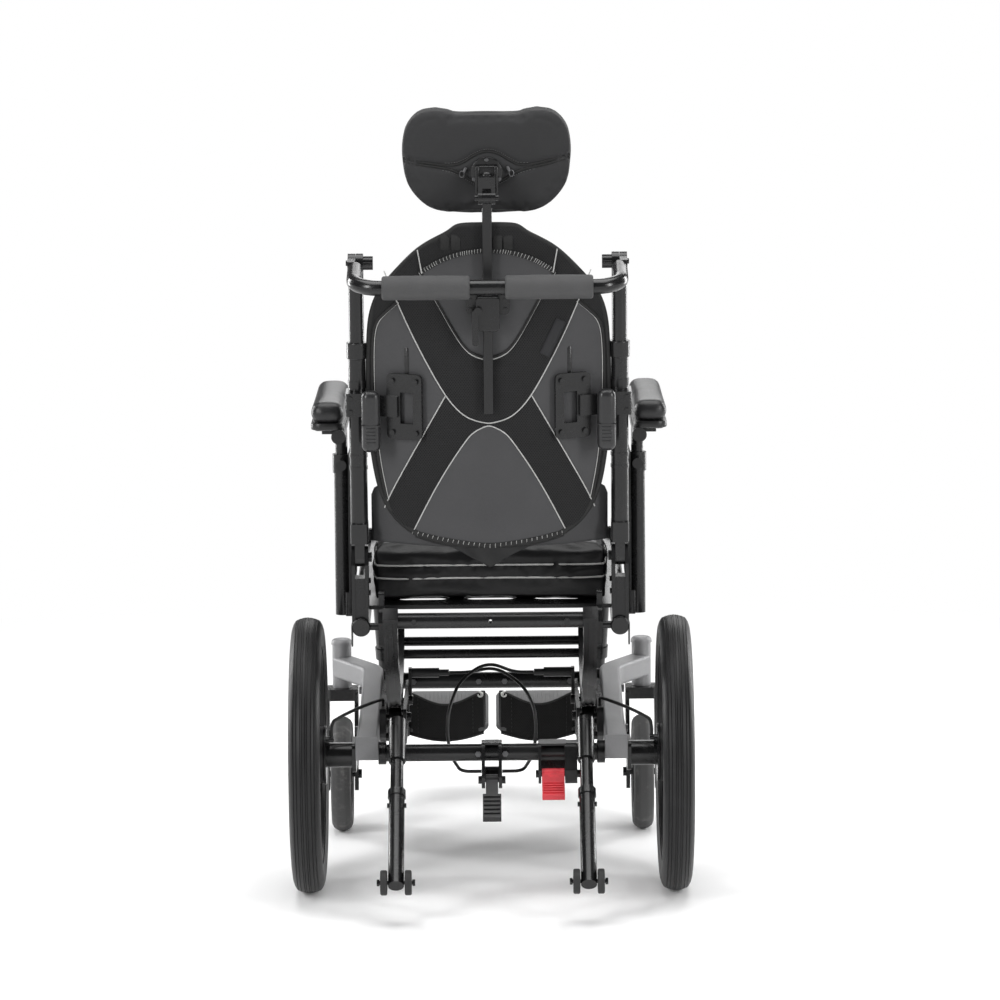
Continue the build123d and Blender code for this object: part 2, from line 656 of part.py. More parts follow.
def rear_tyre(side):
    """A solid tyre with two grooves beside its centre band."""
    half, bead, tread = TYRE_W / 2, -RIM_R, -WHEEL_R
    depth = TYRE_H
    seat, lip = RIM_W / 2 - 3.6, bead - 3.4
    right = [
        (6.4, tread), (7.2, tread + 2.4), (8.2, tread + 2.4), (9, tread + 0.6), (half - 10, bead - depth * 0.95),
        (half - 3.5, bead - depth * 0.78), (half, bead - depth * 0.48), (half - 3, bead - depth * 0.18),
        (RIM_W / 2, lip), (seat, lip), (seat, bead),
    ]
    points = right + [(-x, radius) for x, radius in reversed(right)]
    return wheel_section(points, side * WHEEL_X).solids()


def rear_wheel(side):
    """A moulded wheel: channel rim, tapered spokes with a raised rib, hub and brake drum."""
    middle = side * WHEEL_X
    half = RIM_W / 2
    rim = wheel_section(
        [(-half, -RIM_R - 3), (-half, -RIM_R + RIM_H - 2), (-half + 4, -RIM_R + RIM_H), (half - 4, -RIM_R + RIM_H),
         (half, -RIM_R + RIM_H - 2), (half, -RIM_R - 3), (half - 3.4, -RIM_R - 3), (half - 3.4, -RIM_R),
         (-half + 3.4, -RIM_R), (-half + 3.4, -RIM_R - 3)],
        middle,
    )
    body = rim + across(0, AXLE_Z, middle - HUB_W / 2, middle + HUB_W / 2, HUB_R)
    inner = RIM_R - RIM_H + 1
    for number in range(SPOKES):
        spoke = Polyline((-SPOKE_W * 0.6, HUB_R - 5), (SPOKE_W * 0.6, HUB_R - 5), (SPOKE_W * 0.36, inner - 16),
                         (SPOKE_W * 0.62, inner), (-SPOKE_W * 0.62, inner), (-SPOKE_W * 0.36, inner - 16), close=True)
        rib = Polyline((-4, HUB_R - 3), (4, HUB_R - 3), (3, inner), (-3, inner), close=True)
        turn = Rot(X=number * 360 / SPOKES)
        place = Plane(origin=(0, 0, 0), x_dir=(0, 1, 0), z_dir=(1, 0, 0))
        web = Pos(-7, 0, 0) * extrude(place * make_face(spoke), 14)
        ridge = Pos(-11, 0, 0) * extrude(place * make_face(rib), 22)
        body += Pos(middle, 0, AXLE_Z) * turn * (web + ridge)
    drum_in = side * (HUB_IN)
    body += across(0, AXLE_Z, drum_in, middle, DRUM_R)
    body -= across(0, AXLE_Z, side * (BACKING_X - 10), side * (WHEEL_X + HUB_W), AXLE_PIN_R + RUNNING_FIT)
    return [body]


# ---- Casters ------------------------------------------------------------------------------------------------------
def caster_fork(side):
    """A swivel fork: stem, crown and two legs that trail behind the stem, with the wheel's pin and nuts."""
    x = side * CASTER_X
    top = HOUSING_LOW - REST_GAP
    low = top - CROWN_T
    inner = CASTER_W / 2 + FORK_GAP
    outer = inner + FORK_T
    crown = Pos(x, STEM_Y - 4, low) * extrude(RectangleRounded(2 * outer, 44, 8), CROWN_T)
    stem = rod((x, STEM_Y, top), (x, STEM_Y, HOUSING_LOW + HOUSING_H - 12), STEM_R)
    leg = side_plate(
        [(STEM_Y + 17, top - 4, 4), (STEM_Y + 17, low - 8, 12), (WHEEL_Y + 15, CASTER_R + 6, 14),
         (WHEEL_Y + 12, CASTER_R - 26, 10), (WHEEL_Y - 14, CASTER_R - 26, 10), (WHEEL_Y - 17, CASTER_R + 16, 16),
         (STEM_Y - 25, low - 4, 12), (STEM_Y - 25, top - 4, 4)],
        inner, outer,
    )
    for z in (CASTER_R - 14, CASTER_R + 18):
        leg -= across(WHEEL_Y, z, inner - 1, outer + 1, CASTER_PIN_R)
    legs = Pos(x, 0, 0) * (leg + mirrored(leg))
    pin = across(WHEEL_Y, CASTER_R, x - outer, x + outer, CASTER_PIN_R)
    body = crown + stem + legs + pin
    for end in (-1, 1):
        body += bolt(WHEEL_Y, CASTER_R, x + end * outer, end, 7.5, 5)
    return [body]


def caster_wheel(side):
    """Caster hub with five webs, and its tyre as a second solid."""
    x = side * CASTER_X
    half, bead = CASTER_W / 2, CASTER_R - CASTER_TYRE_H
    centre = (x, WHEEL_Y, CASTER_R)
    place = Plane(origin=centre, x_dir=(1, 0, 0), z_dir=(0, 1, 0))
    axis = Axis(centre, (1, 0, 0))
    tyre = Polyline((-half + 2, -bead), (-half, -bead - 6), (-half + 2.5, -bead - 11), (-half + 8, -CASTER_R + 1),
                    (-5, -CASTER_R), (5, -CASTER_R), (half - 8, -CASTER_R + 1), (half - 2.5, -bead - 11),
                    (half, -bead - 6), (half - 2, -bead), close=True)
    rim = Polyline((-half + 2, -bead), (-half + 2, -bead + 8), (half - 2, -bead + 8), (half - 2, -bead), close=True)
    tyre = revolve(place * make_face(tyre), axis)
    hub = revolve(place * make_face(rim), axis)
    hub += across(WHEEL_Y, CASTER_R, x - half, x + half, 15)
    for number in range(5):
        web = Pos(*centre) * Rot(X=72 * number) * Pos(0, 0, (bead + 5) / 2) * Box(CASTER_W - 14, 16, bead - 12)
        hub += web
    hub -= across(WHEEL_Y, CASTER_R, x - half - 1, x + half + 1, CASTER_PIN_R + RUNNING_FIT)
    return [hub, *tyre.solids()]


# ---- Anti-tippers -------------------------------------------------------------------------------------------------
def anti_tip_sleeve(side):
    """The lower tube that slides on the upper one, with its spring buttons and the wheels' pin."""
    x = side * TIP_X
    sleeve = rod((x, *anti_tip_line(TIP_SLEEVE_FROM)), (x, *anti_tip_line(0.965)), TIP_SLEEVE_R,
                 TIP_TUBE_R + RUNNING_FIT)
    sleeve += rod((x, *anti_tip_line(0.93)), (x, *anti_tip_line(1.02)), TIP_SLEEVE_R)
    ring_from, ring_to = anti_tip_line(TIP_SLEEVE_FROM), anti_tip_line(TIP_SLEEVE_FROM + 0.04)
    sleeve += rod((x, *ring_from), (x, *ring_to), TIP_SLEEVE_R + 1.6, TIP_SLEEVE_R - 0.5)
    y, z = TIP_END
    reach = TIP_SLEEVE_R + SIDE_GAP + TIP_WHEEL_W + SIDE_GAP
    sleeve += across(y, z, x - reach, x + reach, TIP_PIN_R)
    for end in (-1, 1):
        sleeve += bolt(y, z, x + end * reach, end, 5, 4)
        y_button, z_button = anti_tip_line(0.52)
        sleeve += across(y_button, z_button, x, x + end * (TIP_SLEEVE_R + 2.5), 3.5)
    sleeve -= rod((x, *anti_tip_line(0.2)), (x, *anti_tip_line(0.93)), TIP_TUBE_R + RUNNING_FIT)
    return [sleeve]


def anti_tip_wheels(side):
    """The pair of small wheels at the end of one anti-tipper."""
    y, z = TIP_END
    wheels = []
    for end in (-1, 1):
        inner = side * TIP_X + end * (TIP_SLEEVE_R + SIDE_GAP)
        wheel = across(y, z, inner, inner + end * TIP_WHEEL_W, TIP_WHEEL_R)
        wheel = fillet(wheel.edges().filter_by(GeomType.CIRCLE), 2.5)
        wheels.append(wheel - across(y, z, inner - end, inner + end * (TIP_WHEEL_W + 1), TIP_PIN_R + RUNNING_FIT))
    return wheels


# ---- Seat frame ---------------------------------------------------------------------------------------------------
def rocker(side):
    """A curved rail, grooved down its sides and its rolling face, with a cap on its rear end."""
    inner = ROCKER_R - ROCKER_H
    rail = arc_bar(inner, ROCKER_R, ROCKER_REAR_DEG, ROCKER_FRONT_DEG, ROCKER_IN, ROCKER_OUT)
    middle = ROCKER_R - ROCKER_H / 2
    for x in (ROCKER_X - FACE_GROOVE_X, ROCKER_X + FACE_GROOVE_X):
        rail -= arc_bar(ROCKER_R - GROOVE_D, ROCKER_R + 1, ROCKER_REAR_DEG - 1, ROCKER_FRONT_DEG + 1,
                        x - GROOVE_W / 4, x + GROOVE_W / 4)
    for x_from, x_to in ((ROCKER_IN - 1, ROCKER_IN + GROOVE_D), (ROCKER_OUT - GROOVE_D, ROCKER_OUT + 1)):
        for offset in (-GROOVE_W, GROOVE_W):
            rail -= arc_bar(middle + offset - GROOVE_W / 3, middle + offset + GROOVE_W / 3,
                            ROCKER_REAR_DEG - 1, ROCKER_FRONT_DEG + 1, x_from, x_to)
    rail += arc_bar(inner - 1, ROCKER_R + 1, ROCKER_REAR_DEG - 0.6, ROCKER_REAR_DEG + 0.5,
                    ROCKER_IN - 1, ROCKER_OUT + 1)
    return [rail if side > 0 else mirrored(rail)]


def seat_rails():
    """Side rails, each joined to its rocker by a plate with a post at the rear and an upright at the front."""
    rear, front = (RAIL_X, RAIL_REAR, RAIL_Z), (RAIL_X, RAIL_FRONT, rail_z(RAIL_FRONT))
    body = rod(rear, front, RAIL_R, RAIL_R - TUBE_WALL)
    plug = rod((RAIL_X, RAIL_REAR - 4, RAIL_Z - 4 * PITCH), rear, RAIL_R + 1)
    body += fillet(plug.edges().filter_by(GeomType.CIRCLE).sort_by(Axis.Y)[0], 2)
    inner = ROCKER_R - ROCKER_H
    post_rear, post_front, post_top = RAIL_REAR - 6, RAIL_REAR + 14, RAIL_Z + POST_RISE
    body += side_plate(
        [on_arc(inner + 7, ROCKER_REAR_DEG + 3), (*on_arc(inner + 7, ROCKER_REAR_DEG + 15), 12),
         (post_front, RAIL_Z - 8, 8), (post_front, post_top, 4), (post_rear, post_top, 4),
         (post_rear, RAIL_Z + 26, 10)],
        ROCKER_OUT, ROCKER_OUT + 8,
    )
    body += block(ROCKER_IN + 3, ROCKER_OUT + 8, post_rear, post_front, RAIL_Z + 26, post_top, edge=4)
    body += across(RAIL_REAR + 4, rail_z(RAIL_REAR + 4), ROCKER_OUT + 4, RAIL_X - 8, 5.4)
    foot = [on_arc(inner - 4, ROCKER_FRONT_DEG), on_arc(ROCKER_R - 2, ROCKER_FRONT_DEG),
            on_arc(ROCKER_R - 2, ROCKER_FRONT_DEG - 6), on_arc(inner - 4, ROCKER_FRONT_DEG - 8)]
    head_y = foot[1][0]
    upright = side_plate(
        [foot[3], foot[2], foot[1], (head_y + 14, rail_z(head_y) - 6, 6), (head_y + 14, rail_z(head_y) + 8, 4),
         (head_y - 26, rail_z(head_y) + 6, 4), (head_y - 26, rail_z(head_y) - 14, 6)],
        ROCKER_OUT, ROCKER_OUT + 6,
    )
    body += upright
    body += block(ROCKER_OUT, RAIL_X - 6, head_y - 24, head_y + 12, rail_z(head_y) - 5, rail_z(head_y) + 5, edge=3)
    return both(body)


def rear_bar():
    """(Y, Z) of the rear cross bar's centre, near the rocker's inner edge."""
    radius = ROCKER_R - REAR_BAR_INSET
    return on_arc(radius, -degrees(acos((TILT_Z - REAR_BAR_Z) / radius)))


def seat_cross_tubes():
    """The rear tube and the two thin bars that join the rockers' inner faces."""
    y, z = rear_bar()
    tube = across(y, z, -ROCKER_IN, ROCKER_IN, REAR_BAR_R)
    tube -= rod((0, y - REAR_BAR_R - 5, z), (0, y + REAR_BAR_R + 5, z), REAR_BAR_HOLE_R)
    solids = [tube]
    for behind in THIN_BARS:
        bar_y, bar_z = on_arc(ROCKER_R - THIN_BAR_INSET, ROCKER_FRONT_DEG - behind)
        solids.append(across(bar_y, bar_z, -ROCKER_IN, ROCKER_IN, THIN_BAR_R))
    for x in (-ROCKER_IN + 24, ROCKER_IN - 24):
        place = Plane(origin=(x, y - REAR_BAR_R + 2, z), x_dir=(1, 0, 0), z_dir=(0, -1, 0))
        solids.append(extrude(place * RegularPolygon(4.5, 6), 5) - across(y, z, x - 9, x + 9, REAR_BAR_R))
    return solids


def seat_pan():
    """A slotted sheet that lies on the rails under the cushion."""
    half = RAIL_X - PAN_INSET
    rear, front = CUSHION_REAR - 6, CUSHION_FRONT - 4
    top = RAIL_R + PAN_T
    outline = [(rear, rail_z(rear) + RAIL_R), (front, rail_z(front) + RAIL_R),
               (front, rail_z(front) + top), (rear, rail_z(rear) + top)]
    pan = side_plate(outline, -half, half)
    for number in range(4):
        y = rear + 50 + number * 105
        for x in (-100, 0, 100):
            pan -= Pos(x, y, rail_z(y)) * extrude(SlotOverall(80, 34), 40)
    return [pan]


def seat_cushion():
    """The foam cushion, plain, with its real outline: higher towards the front."""
    base = RAIL_R + PAN_T + REST_GAP
    rear, front, high = CUSHION_REAR, CUSHION_FRONT, CUSHION_H
    outline = [
        (rear, rail_z(rear) + base, 8), (front, rail_z(front) + base, 14),
        (front + 4, rail_z(front) + base + high * 0.6, 20),
        (front - 26, rail_z(front) + base + high + 2, 30), (rear, rail_z(rear) + base + high, 16),
    ]
    half = RAIL_X - CUSHION_INSET
    return [side_plate(outline, -half, half)]


def back_brackets():
    """Castings on the rails with two ears each that hold the recline pins."""
    half = LUG_W / 2 + REST_GAP
    low = RAIL_Z - 22
    outline = [
        (PIVOT_Y - 18, rail_z(PIVOT_Y) - 6, 8), (PIVOT_Y + 26, rail_z(PIVOT_Y) + 4, 8),
        (PIVOT_Y + 20, PIVOT_Z + 2, 12), (PIVOT_Y + 6, PIVOT_Z + LUG_R + 4, 10),
        (PIVOT_Y - 12, PIVOT_Z + LUG_R + 2, 10),
        (PIVOT_Y - 18, PIVOT_Z - 10, 10),
    ]
    ears = side_plate(outline, BACK_X - half - BRACKET_T, BACK_X - half)
    ears += side_plate(outline, BACK_X + half, BACK_X + half + BRACKET_T)
    web = side_plate(
        [(PIVOT_Y - 16, rail_z(PIVOT_Y) + RAIL_R - 2), (PIVOT_Y + 22, rail_z(PIVOT_Y) + RAIL_R - 2),
         (PIVOT_Y + 20, PIVOT_Z - LUG_R - 16), (PIVOT_Y - 16, PIVOT_Z - LUG_R - 16)],
        BACK_X - half, BACK_X + half,
    )
    body = ears + web
    body += across(PIVOT_Y, PIVOT_Z, BACK_X - half - BRACKET_T - 3, BACK_X + half + BRACKET_T, PIVOT_PIN_R)
    body += bolt(PIVOT_Y, PIVOT_Z, BACK_X - half - BRACKET_T, -1, 8, 5)
    for y, z in ((PIVOT_Y + 8, PIVOT_Z - 36), (PIVOT_Y - 6, PIVOT_Z - 52)):
        body += bolt(y, z, BACK_X - half - BRACKET_T, -1, 4.5, 3)
    skirt = side_plate(
        [(PIVOT_Y - 16, rail_z(PIVOT_Y), 4), (PIVOT_Y + 18, rail_z(PIVOT_Y), 4), (PIVOT_Y + 14, low - 10, 10),
         (PIVOT_Y - 8, low - 10, 10)], RAIL_X + RAIL_R, RAIL_X + RAIL_R + 2,
    )
    body += skirt
    cut_from = (RAIL_X, RAIL_REAR - 20, rail_z(RAIL_REAR - 20))
    body -= rod(cut_from, (RAIL_X, PIVOT_Y + 60, rail_z(PIVOT_Y + 60)), RAIL_R)
    return both(body)


def arm_sockets():
    """Upright receivers for the armrest posts, clamped to the rails, with a thumb screw each."""
    low = rail_z(ARM_Y) - RAIL_R - 4
    body = rod((SOCKET_X, ARM_Y, low), (SOCKET_X, ARM_Y, ARM_SOCKET_TOP), ARM_SOCKET_R)
    body += block(RAIL_X - 3, SOCKET_X - 4, ARM_Y - 20, ARM_Y + 20, low, low + 2 * RAIL_R + 10, edge=3)
    collar = rod((SOCKET_X, ARM_Y, ARM_SOCKET_TOP - 28), (SOCKET_X, ARM_Y, ARM_SOCKET_TOP), ARM_SOCKET_R + 2)
    body += collar
    body += rod((SOCKET_X, ARM_Y - 8, ARM_SOCKET_TOP - 14), (SOCKET_X, ARM_Y - 24, ARM_SOCKET_TOP - 14), 3)
    body += rod((SOCKET_X, ARM_Y - 22, ARM_SOCKET_TOP - 14), (SOCKET_X, ARM_Y - 32, ARM_SOCKET_TOP - 14), 8)
    bore = ARM_POST_R + RUNNING_FIT
    body -= rod((SOCKET_X, ARM_Y, low + 12), (SOCKET_X, ARM_Y, ARM_SOCKET_TOP + 1), bore)
    body -= rod((RAIL_X, ARM_Y - 40, rail_z(ARM_Y - 40)), (RAIL_X, ARM_Y + 40, rail_z(ARM_Y + 40)), RAIL_R)
    body -= block(GUARD_X, GUARD_X + GUARD_T, ARM_Y - 60, ARM_Y + 60, rail_z(ARM_Y), ARM_SOCKET_TOP + 20)
    return both(body)


def side_guards():
    """Thin moulded clothing guards between the seat and the wheels, with a swept top edge and an inner rib."""
    low_rear, low_front = rail_z(GUARD_REAR) + 6, rail_z(GUARD_FRONT - 12) + 6
    guard = side_plate(
        [(GUARD_REAR, low_rear, 16), (GUARD_FRONT - 12, low_front, 20), (GUARD_FRONT, low_front + 62, 40),
         (GUARD_FRONT - 68, GUARD_TOP - 16, 50), (ARM_Y + 8, GUARD_TOP - 2, 90), (GUARD_REAR + 26, GUARD_TOP, 26),
         (GUARD_REAR, GUARD_TOP - 88, 60)],
        GUARD_X, GUARD_X + GUARD_T,
    )
    low, high = GUARD_TOP - 108, GUARD_TOP - 88
    slot = side_plate([(ARM_Y + 50, low, 9), (ARM_Y + 150, low, 9), (ARM_Y + 150, high, 9), (ARM_Y + 50, high, 9)],
                      GUARD_X - 1, GUARD_X + GUARD_T + 1)
    return both(guard - slot)


# ---- Armrests -----------------------------------------------------------------------------------------------------
def armrest(side):
    """The sliding post with its fore and aft tube, end plugs and the plate under the pad."""
    tube_z = ARM_PLATE_Z - 11
    post = rod((SOCKET_X, ARM_Y, ARM_SOCKET_TOP - 150), (SOCKET_X, ARM_Y, tube_z), ARM_POST_R)
    tube_r = 9.5
    tube = rod((SOCKET_X, PAD_REAR + 20, tube_z), (SOCKET_X, PAD_REAR + PAD_L - 40, tube_z), tube_r)
    plug = rod((SOCKET_X, PAD_REAR + 15, tube_z), (SOCKET_X, PAD_REAR + 20, tube_z), tube_r + 1)
    gusset = side_plate([(ARM_Y - 26, tube_z - 4), (ARM_Y + 26, tube_z - 4), (ARM_Y + 8, tube_z - 18 + 6),
                         (ARM_Y - 8, tube_z - 18 + 6)], SOCKET_X - 3, SOCKET_X + 3)
    plate = block(PAD_X - 19, PAD_X + 19, PAD_REAR + 24, PAD_REAR + PAD_L - 24, ARM_PLATE_Z - 3, ARM_PLATE_Z, edge=8)
    body = post + tube + plug + gusset + plate
    for y in (PAD_REAR + 60, PAD_REAR + PAD_L - 80):
        body += block(SOCKET_X - 8, PAD_X + 10, y - 9, y + 9, tube_z, ARM_PLATE_Z - 2, edge=2)
    return [body if side > 0 else mirrored(body)]


def arm_pad(side):
    """The padded top of an armrest: wider below, rounded all round."""
    z = ARM_PLATE_Z + 0.2
    length = PAD_L
    base = extrude(RectangleRounded(PAD_W, length, 16), PAD_H, taper=9)
    pad = Pos(side * PAD_X, PAD_REAR + length / 2, z) * base
    return [fillet(pad.faces().sort_by(Axis.Z)[-1].edges(), 6)]


# ---- Back ---------------------------------------------------------------------------------------------------------
def back_rod(x, up_from, up_to, radius, bore=0.0, behind=0.0):
    """A round piece along a cane's direction."""
    return rod((x, *on_back(up_from, behind)), (x, *on_back(up_to, behind)), radius, bore)


def back_plane(x, up, behind=0.0):
    """A plane across the back's direction: its Z runs up the canes and its Y forward."""
    return Plane(origin=(x, *on_back(up, behind)), x_dir=(1, 0, 0), z_dir=(0, -sin(LEAN), cos(LEAN)))


def back_canes():
    """Tubes with a forked lug at the recline pivot and a clamp collar at the top."""
    cane = back_rod(BACK_X, CANE_LOW, CANE_TOP, CANE_R)
    cane += back_plane(BACK_X, CANE_LOW - 8) * extrude(RectangleRounded(26, 32, 6), 30)
    cane += across(PIVOT_Y, PIVOT_Z, BACK_X - LUG_W / 2, BACK_X + LUG_W / 2, LUG_R)
    cane += back_plane(BACK_X, 0) * extrude(Rectangle(LUG_W, 2 * LUG_R), CANE_LOW)
    collar = back_rod(BACK_X, CANE_TOP - 22, CANE_TOP + 2, CANE_R + 2.3)
    cane += fillet(collar.edges().filter_by(GeomType.CIRCLE), 1.5)
    cane += back_rod(BACK_X, CANE_TOP - 64, CANE_TOP - 54, CANE_R + 1)
    for up in (132, 150):
        cane += back_rod(BACK_X, up, up + 5, CANE_R + 0.8)
    cane -= back_rod(BACK_X, CANE_TOP - POST_IN - 60, CANE_TOP + 3, POST_R + RUNNING_FIT)
    cane -= across(PIVOT_Y, PIVOT_Z, BACK_X - LUG_W, BACK_X + LUG_W, PIVOT_PIN_R + RUNNING_FIT)
    return both(cane)


def shell_outline(inset=0.0):
    """Half of the shell seen from behind, as (X, height along the back) points from the lower tip to the crown."""
    half, low, top = SHELL_W / 2 - inset, SHELL_LOW + inset, SHELL_TOP - inset
    high = top - low
    shares = [(0, 0), (0.34, 0.008), (0.62, 0.035), (0.83, 0.10), (0.955, 0.23), (1, 0.38), (1, 0.62),
              (0.975, 0.71), (0.90, 0.783), (0.77, 0.845), (0.65, 0.893), (0.50, 0.938), (0.30, 0.98), (0, 1)]
    return [(half * across_share, low + high * up_share) for across_share, up_share in shares]


def shell_face(inset=0.0):
    """The shell's outline as a face, smooth along each side."""
    points = shell_outline(inset)
    right = Spline(*points, tangents=((1, 0.05), (-1, 0)))
    return make_face(Curve() + [right, mirror(right, about=Plane.YZ)])


def shell_radius():
    """Radius of the shell's front skin, from its width and depth."""
    half = SHELL_W / 2
    return (half * half + SHELL_DEPTH * SHELL_DEPTH) / (2 * SHELL_DEPTH)


def curved_layer(r_in, r_out):
    """A layer between two radii about the shell's own axis, in the back's axes: X across, Y forward, Z up."""
    centre, span = shell_radius() + SHELL_T, SHELL_TOP + 200
    layer = Pos(0, centre, -50) * extrude(Circle(r_out) - Circle(r_in), span)
    return layer & (Pos(0, 0, span / 2 - 50) * Box(2 * SHELL_W, 4 * SHELL_DEPTH, span))


def back_shell():
    """The contoured shell, hollow to the front, cut to its rounded outline."""
    layer = curved_layer(shell_radius(), shell_radius() + SHELL_T)
    prism = Plane(origin=(0, -150, 0), x_dir=(1, 0, 0), z_dir=(0, 1, 0)) * mirror(shell_face(), about=Plane.XZ)
    shell = layer & extrude(prism, 300)
    for x in (-SHELL_PLATE_X + 2, SHELL_PLATE_X - 2):
        slot = Pos(x, 0, SLOT_UP) * Rot(X=90) * Rot(Z=90) * SlotOverall(44, 6)
        shell -= extrude(slot, 150, both=True)
    return [on_canes(shell)]


def on_canes(solid):
    """Moves a piece drawn in the back's own axes to the back."""
    return back_plane(0, 0, SHELL_BACK) * solid


def back_pad():
    """The foam pad inside the shell, plain, hollowed like it."""
    layer = curved_layer(shell_radius() - REST_GAP - BACK_PAD_T, shell_radius() - REST_GAP)
    face = mirror(shell_face(BACK_PAD_INSET), about=Plane.XZ)
    prism = Plane(origin=(0, -150, 0), x_dir=(1, 0, 0), z_dir=(0, 1, 0)) * face
    pad = layer & extrude(prism, 300)
    pad &= Pos(0, 0, (BACK_PAD_LOW + BACK_PAD_TOP) / 2) * Box(2 * SHELL_W, 2 * SHELL_W, BACK_PAD_TOP - BACK_PAD_LOW)
    return [on_canes(pad)]


def shell_skin(x):
    """How far the shell's rear skin lies in front of its rear-most line at a place across the back."""
    radius = shell_radius() + SHELL_T
    return radius - sqrt(radius * radius - x * x)


def on_skin(standoff):
    """The right plate's place in the back's own axes: X along the shell's skin, Y forward, a standoff behind it."""
    radius = shell_radius() + SHELL_T
    turn = degrees(asin(SHELL_PLATE_X / radius))
    return Pos(0, radius, 0) * Rot(Z=turn) * Pos(0, -radius - standoff, 0)


def shell_plates():
    """Slotted adjustment plates behind the shell, each on four screws with spacers."""
    half_w, half_h = SHELL_PLATE_W / 2, SHELL_PLATE_H / 2
    middle = SHELL_PLATE_STAND + SHELL_PLATE_T / 2
    plate = on_skin(middle) * Pos(0, 0, CLAMP_UP) * Box(SHELL_PLATE_W, SHELL_PLATE_T, SHELL_PLATE_H)
    upright = plate.edges().filter_by(lambda edge: abs(edge.length - SHELL_PLATE_T) < 0.01)
    plate = fillet(upright, 8)
    plate -= on_skin(middle) * Pos(-4, 0, CLAMP_UP - 2) * Box(20, 20, 46)
    for x in (-half_w + 9, half_w - 9):
        for z in (-half_h + 10, half_h - 10):
            plate += on_skin(middle) * Pos(x, -4, CLAMP_UP + z) * Rot(X=90) * Cylinder(4, 5)
            reach = SHELL_PLATE_STAND - REST_GAP - 1
            spacer = Cylinder(3.4, reach, align=(Align.CENTER, Align.CENTER, Align.MAX))
            plate += on_skin(SHELL_PLATE_STAND) * Pos(x, 0, CLAMP_UP + z) * Rot(X=90) * spacer
    return both(on_canes(plate))


def arm_rear(x):
    """Rear face of the clamp's arm at a place across the back, in the back's own axes."""
    radius = shell_radius() + SHELL_T
    turn = asin(SHELL_PLATE_X / radius)
    depth = radius + SHELL_PLATE_STAND + SHELL_PLATE_T + CLAMP_ARM_T
    return radius - depth * cos(turn) + (x - depth * sin(turn)) * tan(turn)


def latch_behind():
    """How far the latch pins lie behind the canes' centre line."""
    return SHELL_BACK - arm_rear(LATCH_X) + LATCH_REAR


def latch_pin(radius):
    """The pin that a latch lever turns on, across the chair behind the clamp."""
    y, z = on_back(LATCH_UP, latch_behind())
    return across(y, z, LATCH_X - LATCH_W / 2, LATCH_X + LATCH_W / 2, radius)


def cane_clamps():
    """Clamps round the canes with four screws each, and an arm that carries the shell's plate and the latch."""
    rear = SHELL_BACK - arm_rear(BACK_X - CANE_R) + 2
    front = CANE_R + 4
    deep, wide = front + rear, 2 * CANE_R + 8
    place = back_plane(BACK_X, CLAMP_UP - CLAMP_H / 2, (rear - front) / 2)
    clamp = place * extrude(RectangleRounded(wide, deep, 5), CLAMP_H)
    for x in (BACK_X - 10, BACK_X + 10):
        for height in (-10, 10):
            screw = Cylinder(3.2, 2.4, align=(Align.CENTER, Align.CENTER, Align.MIN))
            clamp += back_plane(x, CLAMP_UP + height, rear) * Rot(X=90) * screw
    arm_from = SHELL_PLATE_W / 2 - 18
    arm_to = BACK_X - CANE_R - SHELL_PLATE_X + 6
    standoff = SHELL_PLATE_STAND + SHELL_PLATE_T + CLAMP_ARM_T / 2
    arm = on_skin(standoff) * Pos((arm_from + arm_to) / 2, 0, CLAMP_UP) * Box(arm_to - arm_from, CLAMP_ARM_T, 30)
    clamp += on_canes(arm)
    clamp -= back_rod(BACK_X, CLAMP_UP - CLAMP_H, CLAMP_UP + CLAMP_H, CANE_R)
    pin_line, ear_front = SHELL_BACK - latch_behind(), arm_rear(LATCH_X) + 3
    ear = Pos(LATCH_X, (pin_line - 6 + ear_front) / 2, LATCH_UP) * Box(LATCH_W / 2, ear_front + 6 - pin_line, 12)
    return both(clamp + on_canes(ear) + latch_pin(LATCH_PIN_R))


def latch_lever(side):
    """A quick release lever: a rounded capsule with a ribbed thumb end, forked round the clamp's ear."""
    body = Pos(0, 0, 19 - LATCH_H / 2) * Box(LATCH_W - 1, 20, LATCH_H)
    body = fillet(body.edges().filter_by(Axis.Y), 10)
    body = fillet(body.edges().filter_by(Axis.Z), 5)
    for number in range(5):
        body += Pos(0, -10.5, 28 - LATCH_H + number * 6) * Box(14, 2, 2.6)
    place = back_plane(LATCH_X, LATCH_UP, latch_behind())
    lever = place * body
    lever -= place * Rot(X=LATCH_OPEN) * Pos(0, LATCH_SWING + 20, 0) * Box(60, 40, 60)
    lever -= place * Pos(0, 0, 9) * Box(LATCH_W / 2 + 2 * REST_GAP, 40, 44)
    lever -= latch_pin(LATCH_PIN_R + RUNNING_FIT)
    return [lever if side > 0 else mirrored(lever)]


